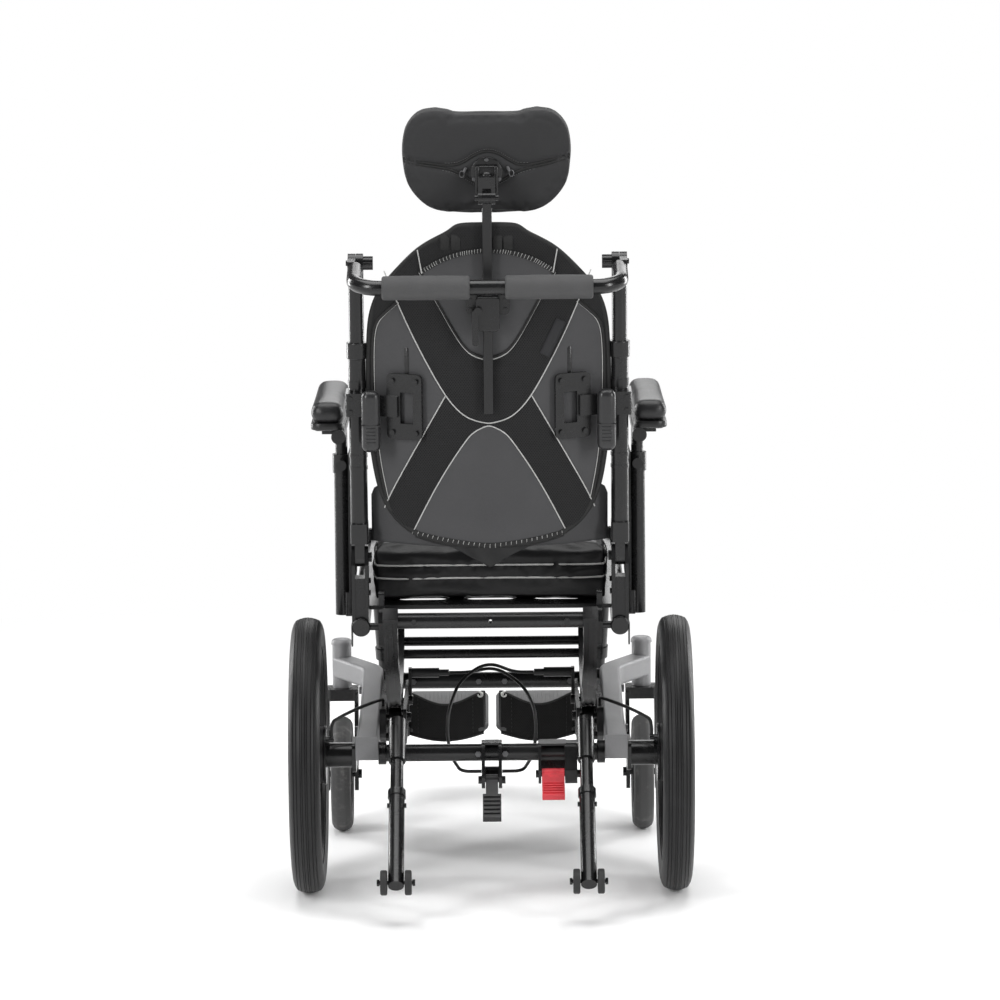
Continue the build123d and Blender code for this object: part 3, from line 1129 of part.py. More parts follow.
def headrest_bracket():
    """The bracket on the shell that clamps the headrest bar: screwed foot, clamp block and hanging lever."""
    high = HEAD_BRACKET_LOW + HEAD_BRACKET_H
    foot = Pos(0, -REST_GAP - HEAD_FOOT_T / 2, high - HEAD_FOOT_H / 2) * Box(HEAD_FOOT_W, HEAD_FOOT_T, HEAD_FOOT_H)
    foot = fillet(foot.edges().filter_by(Axis.Y), 6)
    block_t = HEAD_BAR_T + 2 * HEAD_CLAMP_WALL
    clamp = Pos(0, -REST_GAP - block_t / 2, high - HEAD_BRACKET_H / 2) * Box(HEAD_CLAMP_W, block_t, HEAD_BRACKET_H)
    clamp = fillet(clamp.edges().filter_by(Axis.Y), 5)
    body = foot + fillet(clamp.faces().sort_by(Axis.Y)[0].edges(), 2)
    bar_place = Pos(0, headrest_bar_y(), high - HEAD_BRACKET_H / 2)
    body -= bar_place * Box(HEAD_BAR_W + 2 * RUNNING_FIT, HEAD_BAR_T + 2 * RUNNING_FIT, 2 * HEAD_BRACKET_H)
    for x in (-HEAD_FOOT_W / 2 + 6, HEAD_FOOT_W / 2 - 6):
        for z in (high - HEAD_FOOT_H + 7, high - 7):
            body += Pos(x, -HEAD_FOOT_T - REST_GAP, z) * Rot(X=90) * Cylinder(3, 5)
    lever_y = -REST_GAP - block_t - 3
    lever = Pos(-HEAD_CLAMP_W / 2 - 1, lever_y, high - 18 - HEAD_LEVER_L / 2) * Box(9, 6, HEAD_LEVER_L)
    lever = fillet(lever.edges().filter_by(Axis.Y), 4)
    pivot = Pos(-HEAD_CLAMP_W / 2 + 3, lever_y, high - 20) * Rot(X=90) * Cylinder(6, 8)
    return [on_canes(body + lever + pivot)]


# ---- Headrest -----------------------------------------------------------------------------------------------------
def headrest_bar_y():
    """The bar's middle plane behind the shell's rear-most skin, in the back's own axes."""
    return -REST_GAP - HEAD_CLAMP_WALL - HEAD_BAR_T / 2


def headrest_bar():
    """The flat bar behind the shell, with the link's lower fork at its top."""
    middle = headrest_bar_y()
    bar = Pos(0, middle, (HEAD_BAR_LOW + HEAD_BAR_TOP - 8) / 2)
    bar *= Box(HEAD_BAR_W, HEAD_BAR_T, HEAD_BAR_TOP - 8 - HEAD_BAR_LOW)
    bar = fillet(bar.edges().filter_by(Axis.Z), 2)
    knuckle = Pos(0, middle, HEAD_BAR_TOP + 6) * Rot(Y=90) * Cylinder(9, 12)
    knuckle += Pos(0, middle, HEAD_BAR_TOP - 4) * Box(12, 8, 20)
    bar += knuckle
    bar -= Pos(0, middle, HEAD_BAR_TOP + 6) * Rot(Y=90) * Cylinder(4 + RUNNING_FIT, 40)
    return [on_canes(bar)]


def headrest_link():
    """A forked link: hinge pin at the bar, ball at the pad."""
    middle = headrest_bar_y()
    up = HEAD_BAR_TOP + 6
    inner = 6 + REST_GAP
    ears = Plane.YZ
    cheek = Pos(inner + 3, middle, up) * Rot(Y=90) * Cylinder(9, 6)
    cheek += Pos(inner + 3, middle + 4, up + 12) * Box(6, 16, 26)
    body = cheek + mirror(cheek, about=ears)
    body += Pos(0, middle + 4, up + 22) * Box(2 * (inner + 6), 16, 16)
    body += Pos(0, middle, up) * Rot(Y=90) * Cylinder(4, 34)
    body += Pos(0, middle + 16, up + 24) * Rot(X=90) * Cylinder(5, 26)
    body += Pos(0, middle + HEAD_BALL_AHEAD, up + 24) * Sphere(HEAD_BALL_R)
    return [on_canes(body)]


def headrest_pad():
    """The cushion with its concave top edge, and the socket cup round the link's ball."""
    middle = headrest_bar_y() + HEAD_BALL_AHEAD
    up = HEAD_BAR_TOP + 6 + 24
    socket = Pos(0, middle + 4, up) * Rot(X=90) * Cylinder(HEAD_BALL_R + 5, 22)
    socket -= Pos(0, middle, up) * Sphere(HEAD_BALL_R + RUNNING_FIT)
    socket -= Pos(0, middle - 16, up) * Rot(X=90) * Cylinder(HEAD_BALL_R - 0.5, 24)
    half, high = HEAD_PAD_W / 2, HEAD_PAD_H / 2
    right = Spline((0, -high), (half * 0.58, -high * 0.93), (half * 0.89, -high * 0.58), (half, high * 0.05),
                   (half * 0.95, high * 0.7), (half * 0.78, high * 0.96), (half * 0.5, high * 0.99), (0, high * 0.9),
                   tangents=((1, 0), (-1, 0)))
    outline = make_face(Curve() + [right, mirror(right, about=Plane.YZ)])
    place = Plane(origin=(0, middle + 15, up + 20), x_dir=(1, 0, 0), z_dir=(0, -1, 0))
    pad = extrude(place * outline, -HEAD_PAD_T)
    return [*on_canes(socket).solids(), *on_canes(pad).solids()]


# ---- Push handle --------------------------------------------------------------------------------------------------
def handle_pivot():
    """(Y, Z) of the push bar's hinge."""
    return on_back(HANDLE_UP)


def handle_posts():
    """Posts that slide in the canes, each with a hinge ear and a round lock knob on its inner side."""
    y, z = handle_pivot()
    post = back_rod(BACK_X, CANE_TOP - POST_IN, HANDLE_UP - TUBE_FROM, POST_R)
    ear = across(y, z, BACK_X - POST_R, BACK_X - REST_GAP, KNUCKLE_R)
    neck = Pos(0, 0, HANDLE_UP - TUBE_FROM) * Box(POST_R - REST_GAP, 2 * POST_R, TUBE_FROM,
                                                  align=(Align.MIN, Align.CENTER, Align.MIN))
    ear += back_plane(BACK_X - POST_R, 0) * neck
    ear += across(y, z, BACK_X - REST_GAP, BACK_X + POST_R + 3, ROLLER_PIN_R)
    ear += across(y, z, BACK_X - POST_R - 14, BACK_X - POST_R, 10)
    for turn in range(6):
        place = Plane(origin=(BACK_X - POST_R - 7, y, z), x_dir=(0, 1, 0), z_dir=(1, 0, 0)) * Rot(Z=60 * turn)
        ear -= place * Pos(11, 0, 0) * Cylinder(3, 20)
    return both(post + ear)


def arm_point(far):
    """(Y, Z) along the push bar's arm from its hinge."""
    y, z = handle_pivot()
    return y - far * cos(radians(ARM_DROP)), z - far * sin(radians(ARM_DROP))


def push_bar():
    """The U shaped bar in one bent tube, with a hinge ear at each end."""
    y, z = handle_pivot()
    start, corner = arm_point(TUBE_FROM), arm_point(ARM_LEN)
    points = [(BACK_X, *start), (BACK_X, *corner), (-BACK_X, *corner), (-BACK_X, *start)]
    bar = bent(points, [CORNER_R, CORNER_R], Circle(BAR_R))
    for side in (-1, 1):
        ear = across(y, z, side * (BACK_X + REST_GAP), side * (BACK_X + BAR_R), KNUCKLE_R)
        place = Plane(origin=(side * BACK_X, y, z), x_dir=(1, 0, 0),
                      z_dir=(0, -cos(radians(ARM_DROP)), -sin(radians(ARM_DROP))))
        neck = Box(BAR_R - REST_GAP, 2 * BAR_R, TUBE_FROM + 1, align=(Align.CENTER, Align.CENTER, Align.MIN))
        ear += place * Pos(side * (BAR_R + REST_GAP) / 2, 0, 0) * neck
        ear -= across(y, z, side * BACK_X, side * (BACK_X + 20), ROLLER_PIN_R + RUNNING_FIT)
        bar += ear
    return [bar]


def foam_grips():
    """Two foam tubes on the push bar with softened ends."""
    y, z = arm_point(ARM_LEN)
    grip = across(y, z, GRIP_TO - GRIP_L, GRIP_TO, GRIP_R)
    grip = fillet(grip.edges().filter_by(GeomType.CIRCLE), 3)
    return both(grip - across(y, z, 0, GRIP_TO + 1, BAR_R))


# ---- Leg rests ----------------------------------------------------------------------------------------------------
def hanger_top():
    """Height of the hanger tube's upper end, level with the rail's front."""
    return rail_z(HANGER_Y)


def hanger_line(share):
    """A point on the right hanger's leg, 0 at the knee bend and 1 at the foot."""
    knee = (RAIL_X - 8, HANGER_Y + 26, hanger_top() - 4)
    foot = (FOOT_X, FOOT_Y, FOOT_LOW + 14)
    return tuple(a + (b - a) * share for a, b in zip(knee, foot))


def hanger(side):
    """A swing away hanger: pivot sleeve on the rail's pin, bent tube and latch lug."""
    top = hanger_top()
    sleeve = rod((RAIL_X, HANGER_Y, top - 26), (RAIL_X, HANGER_Y, top + 26), HANGER_PIN_R + 5)
    tube = bent([(RAIL_X, HANGER_Y + 4, top), hanger_line(0), hanger_line(0.62)], [18], Circle(HANGER_R))
    lug = block(RAIL_X - 16, RAIL_X - 9, HANGER_Y + 2, HANGER_Y + 30, top - 10, top + 16, edge=3)
    collar = rod(hanger_line(0.56), hanger_line(0.62), HANGER_R + 2)
    body = sleeve + tube + lug + collar
    body -= rod((RAIL_X, HANGER_Y, top - 30), (RAIL_X, HANGER_Y, top + 30), HANGER_PIN_R + RUNNING_FIT)
    body -= rod(hanger_line(0.11), hanger_line(0.63), EXT_R + RUNNING_FIT)
    return [body if side > 0 else mirrored(body)]


def hanger_pins():
    """The rails' front ends: a plug with an upright pin for each hanger."""
    top = hanger_top()
    front = (RAIL_X, RAIL_FRONT, rail_z(RAIL_FRONT))
    pin = rod((RAIL_X, HANGER_Y, top - 34), (RAIL_X, HANGER_Y, top + 30), HANGER_PIN_R)
    arm_low = block(RAIL_X - 9, RAIL_X + 9, RAIL_FRONT - 2, HANGER_Y + 9, top - 34, top - 26 - REST_GAP, edge=4)
    drop = block(RAIL_X - 9, RAIL_X + 9, RAIL_FRONT, RAIL_FRONT + 12, top - 34, top + 8)
    plug = rod(front, (RAIL_X, RAIL_FRONT + 6, rail_z(RAIL_FRONT + 6)), RAIL_R)
    return both(pin + arm_low + drop + plug)


def footrest(side):
    """The extension tube that slides in the hanger, and the foot bracket with the flip pin."""
    tube = rod(hanger_line(0.3), hanger_line(1), EXT_R)
    y0, z0 = FOOT_Y, FOOT_LOW + 14
    (_, y1, z1), (_, y2, z2) = flip_point(-6), flip_point(PLATE_L * 0.72)
    bracket = side_plate(
        [(y0 - 8, z0 + 6, 5), (y0 - 8, z0 - 18, 5), (y1, z1 - 16, 5), (y2, z2 - 14, 5),
         (y2, z2 - 2, 4), (y1, z1 - 2, 4), (y0 + 8, z0 + 6, 4)],
        FLIP_X + 8, FOOT_X + 6,
    )
    body = tube + bracket + rod(hanger_line(0.97), hanger_line(1.02), EXT_R + 1)
    body += flip_pin(FLIP_PIN_R, -10, EAR_AT[1] + 34)
    for far in EAR_AT:
        body += flip_ear(far)
    return [body if side > 0 else mirrored(body)]


def flip_point(far):
    """A point on the right footplate's flip axis, at a distance along it."""
    y = FOOT_Y + LOOP_CLEAR + EXT_R + far * cos(radians(PLATE_PITCH))
    return (FLIP_X, y, FOOT_LOW - 6 + (y - FOOT_Y) * tan(radians(PLATE_PITCH)))


def flip_pin(radius, far_from, far_to):
    """The pin, or with a larger radius its bore, along the flip axis."""
    return rod(flip_point(far_from), flip_point(far_to), radius)


def flip_ear(far):
    """A lug from the foot bracket out to the flip pin."""
    x, y, z = flip_point(far)
    ear = rod(flip_point(far), flip_point(far + 8), 7)
    arm = block(x, FLIP_X + 10, y, y + 8, z - 7, z - 1)
    return ear + arm


def footplate(side):
    """A ribbed footplate pitched up at the front, hinged at its outer edge, with its heel loop."""
    origin = flip_point(0)
    pitch = radians(PLATE_PITCH)
    place = Plane(origin=origin, x_dir=(1, 0, 0), z_dir=(0, -sin(pitch), cos(pitch)))
    outline = Pos(-PLATE_W / 2 - PLATE_EDGE, PLATE_L / 2, 0) * RectangleRounded(PLATE_W, PLATE_L, 18)
    plate = Pos(0, 0, 4) * extrude(outline, PLATE_T)
    under = extrude(RectangleRounded(PLATE_W - 8, PLATE_L - 8, 14), PLATE_T - 4)
    under = Pos(-PLATE_W / 2 - PLATE_EDGE, PLATE_L / 2, 3) * under
    plate -= under
    for number in range(7):
        y = 16 + number * (PLATE_L - 32) / 6
        plate += Pos(-PLATE_W / 2 - PLATE_EDGE, y, 4 + PLATE_T + 1) * Box(PLATE_W - 36, 5, 2)
    for far in EAR_AT:
        start = far + 8 + SIDE_GAP
        knuckle = Pos(0, start, 0) * Rot(X=-90) * Cylinder(7, 24, align=(Align.CENTER, Align.CENTER, Align.MIN))
        knuckle += Pos(-PLATE_EDGE - 2, start + 12, 4.5) * Box(18, 24, 5)
        plate += knuckle
    body = place * plate - flip_pin(FLIP_PIN_R + RUNNING_FIT, -20, PLATE_L + 20)
    loop = heel_loop()
    solids = [body, place * loop]
    return solids if side > 0 else [mirrored(solid) for solid in solids]


def heel_loop():
    """The strap behind the heel, plain: an upright band bowed to the rear, on the plate's rear edge."""
    low = 4 + PLATE_T + REST_GAP
    band = Pos(-PLATE_W / 2 - PLATE_EDGE, LOOP_T / 2 + 4, low + LOOP_H / 2) * Box(PLATE_W - 36, LOOP_T, LOOP_H)
    return fillet(band.edges().filter_by(Axis.Y), 14)


# ---- Build and export ---------------------------------------------------------------------------------------------
def build():
    """Every node's solids, by name, in the rear axle's axes."""
    nodes = {
        "base_beam_right": [beam()],
        "base_beam_left": [mirrored(beam())],
        "base_cross_tubes": base_cross_tubes(),
        "roller_brackets": roller_brackets(),
        "axle_carriers": axle_carriers(),
        "control_cables": brake_cables() + release_cables(),
        "tilt_lock_housings": tilt_locks(),
        "pedal_bracket": pedal_bracket(),
        "wheel_lock_housing": wheel_lock_housing(),
        "anti_tip_arms": anti_tip_arms(),
        "base_fasteners": base_fasteners(),
        "rollers_rear": rollers(0),
        "rollers_front": rollers(1),
        "tilt_pedal": pedal(TILT_PIVOT, TILT_TIP, PEDAL_W, 2 * (PEDAL_HALF_W - PEDAL_PLATE_T - SIDE_GAP), 0.0),
        "wheel_lock_pedal": pedal(LOCK_PIVOT, LOCK_TIP, LOCK_PEDAL_W, LOCK_PEDAL_W, LOCK_PEDAL_X),
        "seat_rails": seat_rails() + hanger_pins(),
        "seat_cross_tubes": seat_cross_tubes(),
        "seat_pan": seat_pan(),
        "seat_cushion": seat_cushion(),
        "back_brackets": back_brackets(),
        "arm_sockets": arm_sockets(),
        "side_guards": side_guards(),
        "back_canes": back_canes(),
        "back_shell": back_shell(),
        "back_pad": back_pad(),
        "shell_plates": shell_plates(),
        "cane_clamps": cane_clamps(),
        "headrest_bracket": headrest_bracket(),
        "headrest_bar": headrest_bar(),
        "headrest_link": headrest_link(),
        "headrest_pad": headrest_pad(),
        "handle_posts": handle_posts(),
        "push_bar": push_bar(),
        "foam_grips": foam_grips(),
    }
    pairs = {
        "rear_tyre": rear_tyre, "rear_wheel": rear_wheel, "caster_fork": caster_fork, "caster_wheel": caster_wheel,
        "anti_tip_sleeve": anti_tip_sleeve, "anti_tip_wheels": anti_tip_wheels, "rocker": rocker,
        "latch_lever": latch_lever, "armrest": armrest, "arm_pad": arm_pad, "hanger": hanger, "footrest": footrest,
        "footplate": footplate,
    }
    for name, make in pairs.items():
        for word, side in (("right", 1), ("left", -1)):
            nodes[f"{name}_{word}"] = make(side)
    return nodes


def main():
    """Moves every node to the middle of the chair's footprint and writes it."""
    nodes = build()
    whole = Compound(children=[solid for node in nodes.values() for shape in node for solid in shape.solids()])
    box = whole.bounding_box()
    shift = Pos(0, -(box.min.Y + box.max.Y) / 2, 0)
    os.makedirs("parts", exist_ok=True)
    for name, shapes in nodes.items():
        solids = [shift * solid for shape in shapes for solid in shape.solids()]
        export_step(Compound(children=solids) if len(solids) > 1 else solids[0], f"parts/{name}.step")
    print("rear axle at Y", round(shift.position.Y, 3), "size", box.size)


main()
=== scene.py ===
"""A tilt in space wheelchair, seen from behind in a plain studio."""

from __future__ import annotations

import logging
import math
from dataclasses import dataclass
from enum import Enum
from typing import Callable, ClassVar, Iterable, Sequence, Union

import bmesh
import bpy
from mathutils import Matrix, Vector, bvhtree, kdtree, noise


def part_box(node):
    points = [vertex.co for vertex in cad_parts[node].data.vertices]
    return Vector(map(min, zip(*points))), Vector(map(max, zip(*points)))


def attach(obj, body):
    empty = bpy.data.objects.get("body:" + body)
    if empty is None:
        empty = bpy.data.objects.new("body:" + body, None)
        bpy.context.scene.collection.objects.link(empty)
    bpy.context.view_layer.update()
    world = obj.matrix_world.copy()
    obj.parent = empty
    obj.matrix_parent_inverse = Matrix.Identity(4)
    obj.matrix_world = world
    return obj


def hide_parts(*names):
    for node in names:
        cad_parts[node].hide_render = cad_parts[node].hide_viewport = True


log = logging.getLogger("wheelchair")
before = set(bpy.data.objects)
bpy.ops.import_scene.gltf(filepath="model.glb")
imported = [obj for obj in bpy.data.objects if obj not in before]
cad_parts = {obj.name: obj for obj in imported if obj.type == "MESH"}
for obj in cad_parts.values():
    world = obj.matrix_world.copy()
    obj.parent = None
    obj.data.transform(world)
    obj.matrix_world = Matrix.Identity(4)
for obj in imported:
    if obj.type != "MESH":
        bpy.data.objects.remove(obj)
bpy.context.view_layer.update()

Colour = tuple[float, float, float]
Flat = tuple[float, float]
Number = Union[int, float, "Term"]
Shape = bmesh.types.BMesh
Edge = bmesh.types.BMEdge
Socket = bpy.types.NodeSocket
Material = bpy.types.Material
Mesh = bpy.types.Mesh
Object = bpy.types.Object
Place = Callable[[float, float], Vector]
MM = 0.001


# ---- Materials ----------------------------------------------------------------------------------------------------
def _operator(operation: str, swapped: bool = False) -> Callable[["Term", Number], "Term"]:
    """A Python operator that adds one Math node, with its two terms swapped if asked."""

    def act(term: "Term", other: Number) -> "Term":
        """The node's result."""
        return term.maths(operation, other, term) if swapped else term.maths(operation, term, other)

    return act


class Term:
    """A number in a material, on which Python's own operators add Math nodes."""

    def __init__(self, recipe: "Recipe", socket: Socket) -> None:
        """Wraps an output socket of one recipe's tree."""
        self.recipe = recipe
        self.socket = socket

    def maths(self, operation: str, *terms: Number) -> "Term":
        """A Math node on the given terms, in their order."""
        return self.recipe.value("ShaderNodeMath", {"operation": operation}, dict(enumerate(terms)))

    __add__ = __radd__ = _operator("ADD")
    __sub__ = _operator("SUBTRACT")
    __rsub__ = _operator("SUBTRACT", swapped=True)
    __mul__ = __rmul__ = _operator("MULTIPLY")
    __pow__ = _operator("POWER")
    most = _operator("MAXIMUM")

    def sine(self) -> "Term":
        """The sine of an angle in radians."""
        return self.maths("SINE", self)

    def ramp(self, low: float, high: float) -> "Term":
        """A smooth step from 0 at low to 1 at high."""
        return self.recipe.value("ShaderNodeMapRange", {"interpolation_type": "SMOOTHSTEP"},
                                 {"Value": self, "From Min": low, "From Max": high, "To Min": 0.0, "To Max": 1.0})


class Recipe:
    """One material's node tree while it is being put together."""

    def __init__(self, name: str) -> None:
        """Starts a material with its own shader and the object's coordinates."""
        self.material = bpy.data.materials.new(name)
        self.material.use_nodes = True
        self.tree = self.material.node_tree
        self.shader = self.tree.nodes["Principled BSDF"]
        self.place = self.node("ShaderNodeTexCoord").outputs["Object"]

    def node(self, kind: str, settings: dict | None = None, inputs: dict | None = None) -> bpy.types.Node:
        """Adds a node with its properties, and values, terms or sockets by input name or number."""
        made = self.tree.nodes.new(kind)
        for name, setting in (settings or {}).items():
            setattr(made, name, setting)
        for name, given in (inputs or {}).items():
            self.feed(made.inputs[name], given)
        return made

    def feed(self, socket: Socket, given: object) -> None:
        """Sets a socket's value, or links what is given to it."""
        if isinstance(given, Term):
            given = given.socket
        if isinstance(given, Socket):
            self.tree.links.new(given, socket)
        elif socket.type == "RGBA" and len(given) == 3:
            socket.default_value = (*given, 1.0)
        else:
            socket.default_value = given

    def value(self, kind: str, settings: dict | None = None, inputs: dict | None = None,
              output: str | int = 0) -> Term:
        """A node's number output as a term."""
        return Term(self, self.node(kind, settings, inputs).outputs[output])

    def axis(self, name: str) -> Term:
        """One coordinate, X, Y or Z, in metres."""
        return self.value("ShaderNodeSeparateXYZ", None, {0: self.place}, name)

    def noise(self, scale: float, detail: float = 3.0, rough: float = 0.5,
              place: Socket | None = None) -> Term:
        """Plain noise from about 0 to 1, with scale in grains to the metre."""
        return self.value("ShaderNodeTexNoise", None,
                          {"Vector": place or self.place, "Scale": scale, "Detail": detail, "Roughness": rough})

    def cells(self, scale: float, feature: str = "F1") -> Term:
        """Distance within a pattern of cells."""
        return self.value("ShaderNodeTexVoronoi", {"feature": feature},
                          {"Vector": self.place, "Scale": scale}, "Distance")

    def stretched(self, scale: Sequence[float]) -> Socket:
        """The object's coordinates, scaled."""
        return self.node("ShaderNodeMapping", None, {"Vector": self.place, "Scale": scale}).outputs[0]

    def mix(self, factor: Number, first: object, second: object) -> Socket:
        """A colour from first at 0 to second at 1."""
        made = self.node("ShaderNodeMix", {"data_type": "RGBA"}, {0: factor, 6: first, 7: second})
        return made.outputs[2]

    def bump(self, height: Term, depth: float, strength: float, under: Socket | None = None) -> Socket:
        """A bumped normal, with depth in metres, over another one if it is given."""
        inputs = {"Height": height, "Distance": depth, "Strength": strength}
        if under:
            inputs["Normal"] = under
        return self.node("ShaderNodeBump", None, inputs).outputs[0]

    def finish(self, colour: object, roughness: Number, normal: Socket | None = None, **others: float) -> Material:
        """Feeds the shader's own sockets, with spaces for underscores, and returns the material."""
        given = {"Base Color": colour, "Roughness": roughness}
        given |= {"Normal": normal} if normal else {}
        given |= {name.replace("_", " ").title().replace("Ior", "IOR"): number for name, number in others.items()}
        for name, what in given.items():
            self.feed(self.shader.inputs[name], what)
        return self.material


@dataclass(frozen=True)
class Finish:
    """What a surface is made of."""

    name: str
    colour: Colour
    roughness: float = 0.4
    grain: float = 0.5
    _made: ClassVar[dict[str, Material]] = {}

    def material(self) -> Material:
        """The finish's material, made once."""
        if self.name not in self._made:
            self._made[self.name] = self.mix(Recipe(self.name))
        return self._made[self.name]

    def mix(self, recipe: Recipe) -> Material:
        """Builds the material."""
        raise NotImplementedError

    def shade(self, amount: float) -> Colour:
        """The colour times an amount."""
        return tuple(min(1.0, part * amount) for part in self.colour)

    def tint(self, recipe: Recipe, factor: Number, low: float, high: float) -> Socket:
        """The colour, from one shade of it where the factor is 0 to another where it is 1."""
        return recipe.mix(factor, self.shade(low), self.shade(high))


class PowderCoat(Finish):
    """Satin paint on steel with a fine orange peel and a little dust."""

    def mix(self, recipe: Recipe) -> Material:
        """Builds the material."""
        peel = recipe.noise(1400, 2, 0.6)
        speckle = recipe.noise(3400, 2, 0.5)
        dust = recipe.noise(9, 5, 0.65).ramp(0.42, 0.72)
        colour = self.tint(recipe, dust * 0.4 + speckle * 0.3, 0.8, 1.4)
        return recipe.finish(colour, dust * 0.12 + peel * 0.08 + (self.roughness - 0.06),
                             recipe.bump(peel * 0.6 + speckle * self.grain, 0.0002, 0.2))


class TexturedCoat(Finish):
    """Thick wrinkle paint, as on the grey beams, in soft darker patches."""

    def mix(self, recipe: Recipe) -> Material:
        """Builds the material."""
        wrinkle = recipe.cells(1300) * 0.7 + recipe.noise(2400, 3, 0.6) * 0.6
        patch = recipe.noise(16, 4, 0.6).ramp(0.35, 0.7)
        colour = self.tint(recipe, wrinkle.ramp(0.2, 0.9), 0.78, 1.12)
        return recipe.finish(recipe.mix(patch * 0.3, colour, self.shade(0.8)),
                             wrinkle * 0.15 + (self.roughness - 0.08), recipe.bump(wrinkle, 0.0005, 0.5), metallic=0.25)


class Metal(Finish):
    """Bare or plated metal with fine scratches."""

    def mix(self, recipe: Recipe) -> Material:
        """Builds the material."""
        scratch = recipe.noise(400, 4, 0.7, recipe.stretched((1.0, 9.0, 1.0)))
        colour = self.tint(recipe, recipe.noise(60, 3, 0.6).ramp(0.3, 0.8), 0.8, 1.1)
        return recipe.finish(colour, scratch * 0.25 + (self.roughness - 0.12), recipe.bump(scratch, 0.0001, 0.3),
                             metallic=1.0)


class Moulded(Finish):
    """Injection moulded plastic with a fine spark eroded grain."""

    def mix(self, recipe: Recipe) -> Material:
        """Builds the material."""
        grain = recipe.cells(1500) * 0.6 + recipe.noise(3200, 2, 0.5) * 0.5
        handling = recipe.noise(22, 5, 0.7).ramp(0.45, 0.75)
        colour = self.tint(recipe, handling * 0.6, 0.9, 1.5)
        return recipe.finish(colour, handling * 0.1 + grain * 0.08 + (self.roughness - 0.06),
                             recipe.bump(grain, 0.0003 * self.grain, 0.5))


class Rubber(Finish):
    """Dull rubber with pores and grey scuffs."""

    def mix(self, recipe: Recipe) -> Material:
        """Builds the material."""
        scuff = recipe.noise(38, 6, 0.7).ramp(0.5, 0.74)
        return recipe.finish(recipe.mix(scuff, self.colour, self.shade(1.7)), scuff * 0.12 + (self.roughness - 0.03),
                             recipe.bump(recipe.noise(1800, 3, 0.7), 0.0003, 0.4 * self.grain),
                             specular_ior_level=0.28)


@dataclass(frozen=True)
class TwoPartWheel(Finish):
    """A moulded hub and the tyre round it, told apart by their distance from the axle."""

    axle: Sequence[float] = (0.0, 0.0, 0.0)
    join: float = 0.0728
    tyre: Colour = (0.05, 0.05, 0.05)
    worn: Colour = (0.11, 0.108, 0.104)

    def mix(self, recipe: Recipe) -> Material:
        """Builds the material."""
        along, up = recipe.axis("Y") - self.axle[1], recipe.axis("Z") - self.axle[2]
        radius = (along * along + up * up) ** 0.5
        is_tyre = radius.ramp(self.join - 0.0006, self.join + 0.0006)
        scuff = recipe.noise(45, 5, 0.7).ramp(0.5, 0.72)
        colour = recipe.mix(is_tyre, self.colour, recipe.mix(scuff, self.tyre, self.worn))
        return recipe.finish(colour, is_tyre * 0.28 + self.roughness,
                             recipe.bump(recipe.noise(2200, 3, 0.6), 0.0003, 0.35))


class Vinyl(Finish):
    """Soft coated upholstery fabric with a fine leather grain and small creases."""

    def mix(self, recipe: Recipe) -> Material:
        """Builds the material."""
        crease = recipe.noise(28, 6, 0.62, recipe.stretched((1.0, 0.55, 1.0)))
        folds = recipe.bump(crease * 0.8 + recipe.noise(120, 4, 0.6) * 0.25, 0.0035, 0.4)
        normal = recipe.bump(recipe.cells(620, "SMOOTH_F1"), 0.0003, 0.35 * self.grain, folds)
        colour = self.tint(recipe, crease.ramp(0.35, 0.75), 0.85, 1.35)
        return recipe.finish(colour, crease * 0.14 + (self.roughness - 0.07), normal, specular_ior_level=0.35)


class Laminate(Finish):
    """Knitted fabric laminated to foam, dull, with a fine lengthwise rib."""

    def mix(self, recipe: Recipe) -> Material:
        """Builds the material."""
        rib = (recipe.axis("X") * 4200).sine() * 0.5 + (recipe.axis("Z") * 3400).sine() * 0.5
        lint = recipe.noise(900, 4, 0.7)
        cloud = recipe.noise(13, 4, 0.6)
        colour = self.tint(recipe, lint * 0.45 + cloud * 0.4 + rib * 0.06, 0.72, 1.38)
        normal = recipe.bump(rib * 0.4 + lint, 0.0004, 0.5 * self.grain, recipe.bump(cloud, 0.006, 0.35))
        return recipe.finish(colour, self.roughness, normal, specular_ior_level=0.22)


class SpacerMesh(Finish):
    """Black three layer mesh with rows of small round holes, painted near black inside as painted shade."""

    def mix(self, recipe: Recipe) -> Material:
        """Builds the material."""
        hole = ((recipe.axis("X") * 1700).sine() * (recipe.axis("Z") * 1250).sine()).ramp(0.1, 0.75)
        thread = recipe.noise(1500, 3, 0.7)
        # The holes are painted near black: painted shade in their depth.
        colour = recipe.mix(hole, self.tint(recipe, thread, 0.9, 1.7), (0.003, 0.003, 0.003))
        return recipe.finish(colour, self.roughness, recipe.bump(1 - hole + thread * 0.3, 0.0008, 0.55),
                             specular_ior_level=0.2)


class Webbing(Finish):
    """Woven tape or cord with a close twill."""

    def mix(self, recipe: Recipe) -> Material:
        """Builds the material."""
        across, along, up = recipe.axis("X"), recipe.axis("Y"), recipe.axis("Z")
        twill = ((across + up) * 2600 + along * 900).sine() * 0.5 + ((across - up) * 2600).sine() * 0.3
        colour = self.tint(recipe, twill * 0.3 + recipe.noise(150, 4, 0.6) * 0.6, 0.7, 1.25)
        return recipe.finish(colour, self.roughness, recipe.bump(twill, 0.0004, 0.5), specular_ior_level=0.25)


class SkinFoam(Finish):
    """Self skinned or closed cell foam, soft and finely pitted."""

    def mix(self, recipe: Recipe) -> Material:
        """Builds the material."""
        pit = recipe.cells(1100)
        wave = recipe.noise(35, 4, 0.6)
        colour = self.tint(recipe, wave * 0.7 + pit * 0.3, 0.75, 1.3)
        return recipe.finish(colour, wave * 0.1 + (self.roughness - 0.05),
                             recipe.bump(pit * self.grain + wave * 2.0, 0.0006, 0.35), specular_ior_level=0.4)


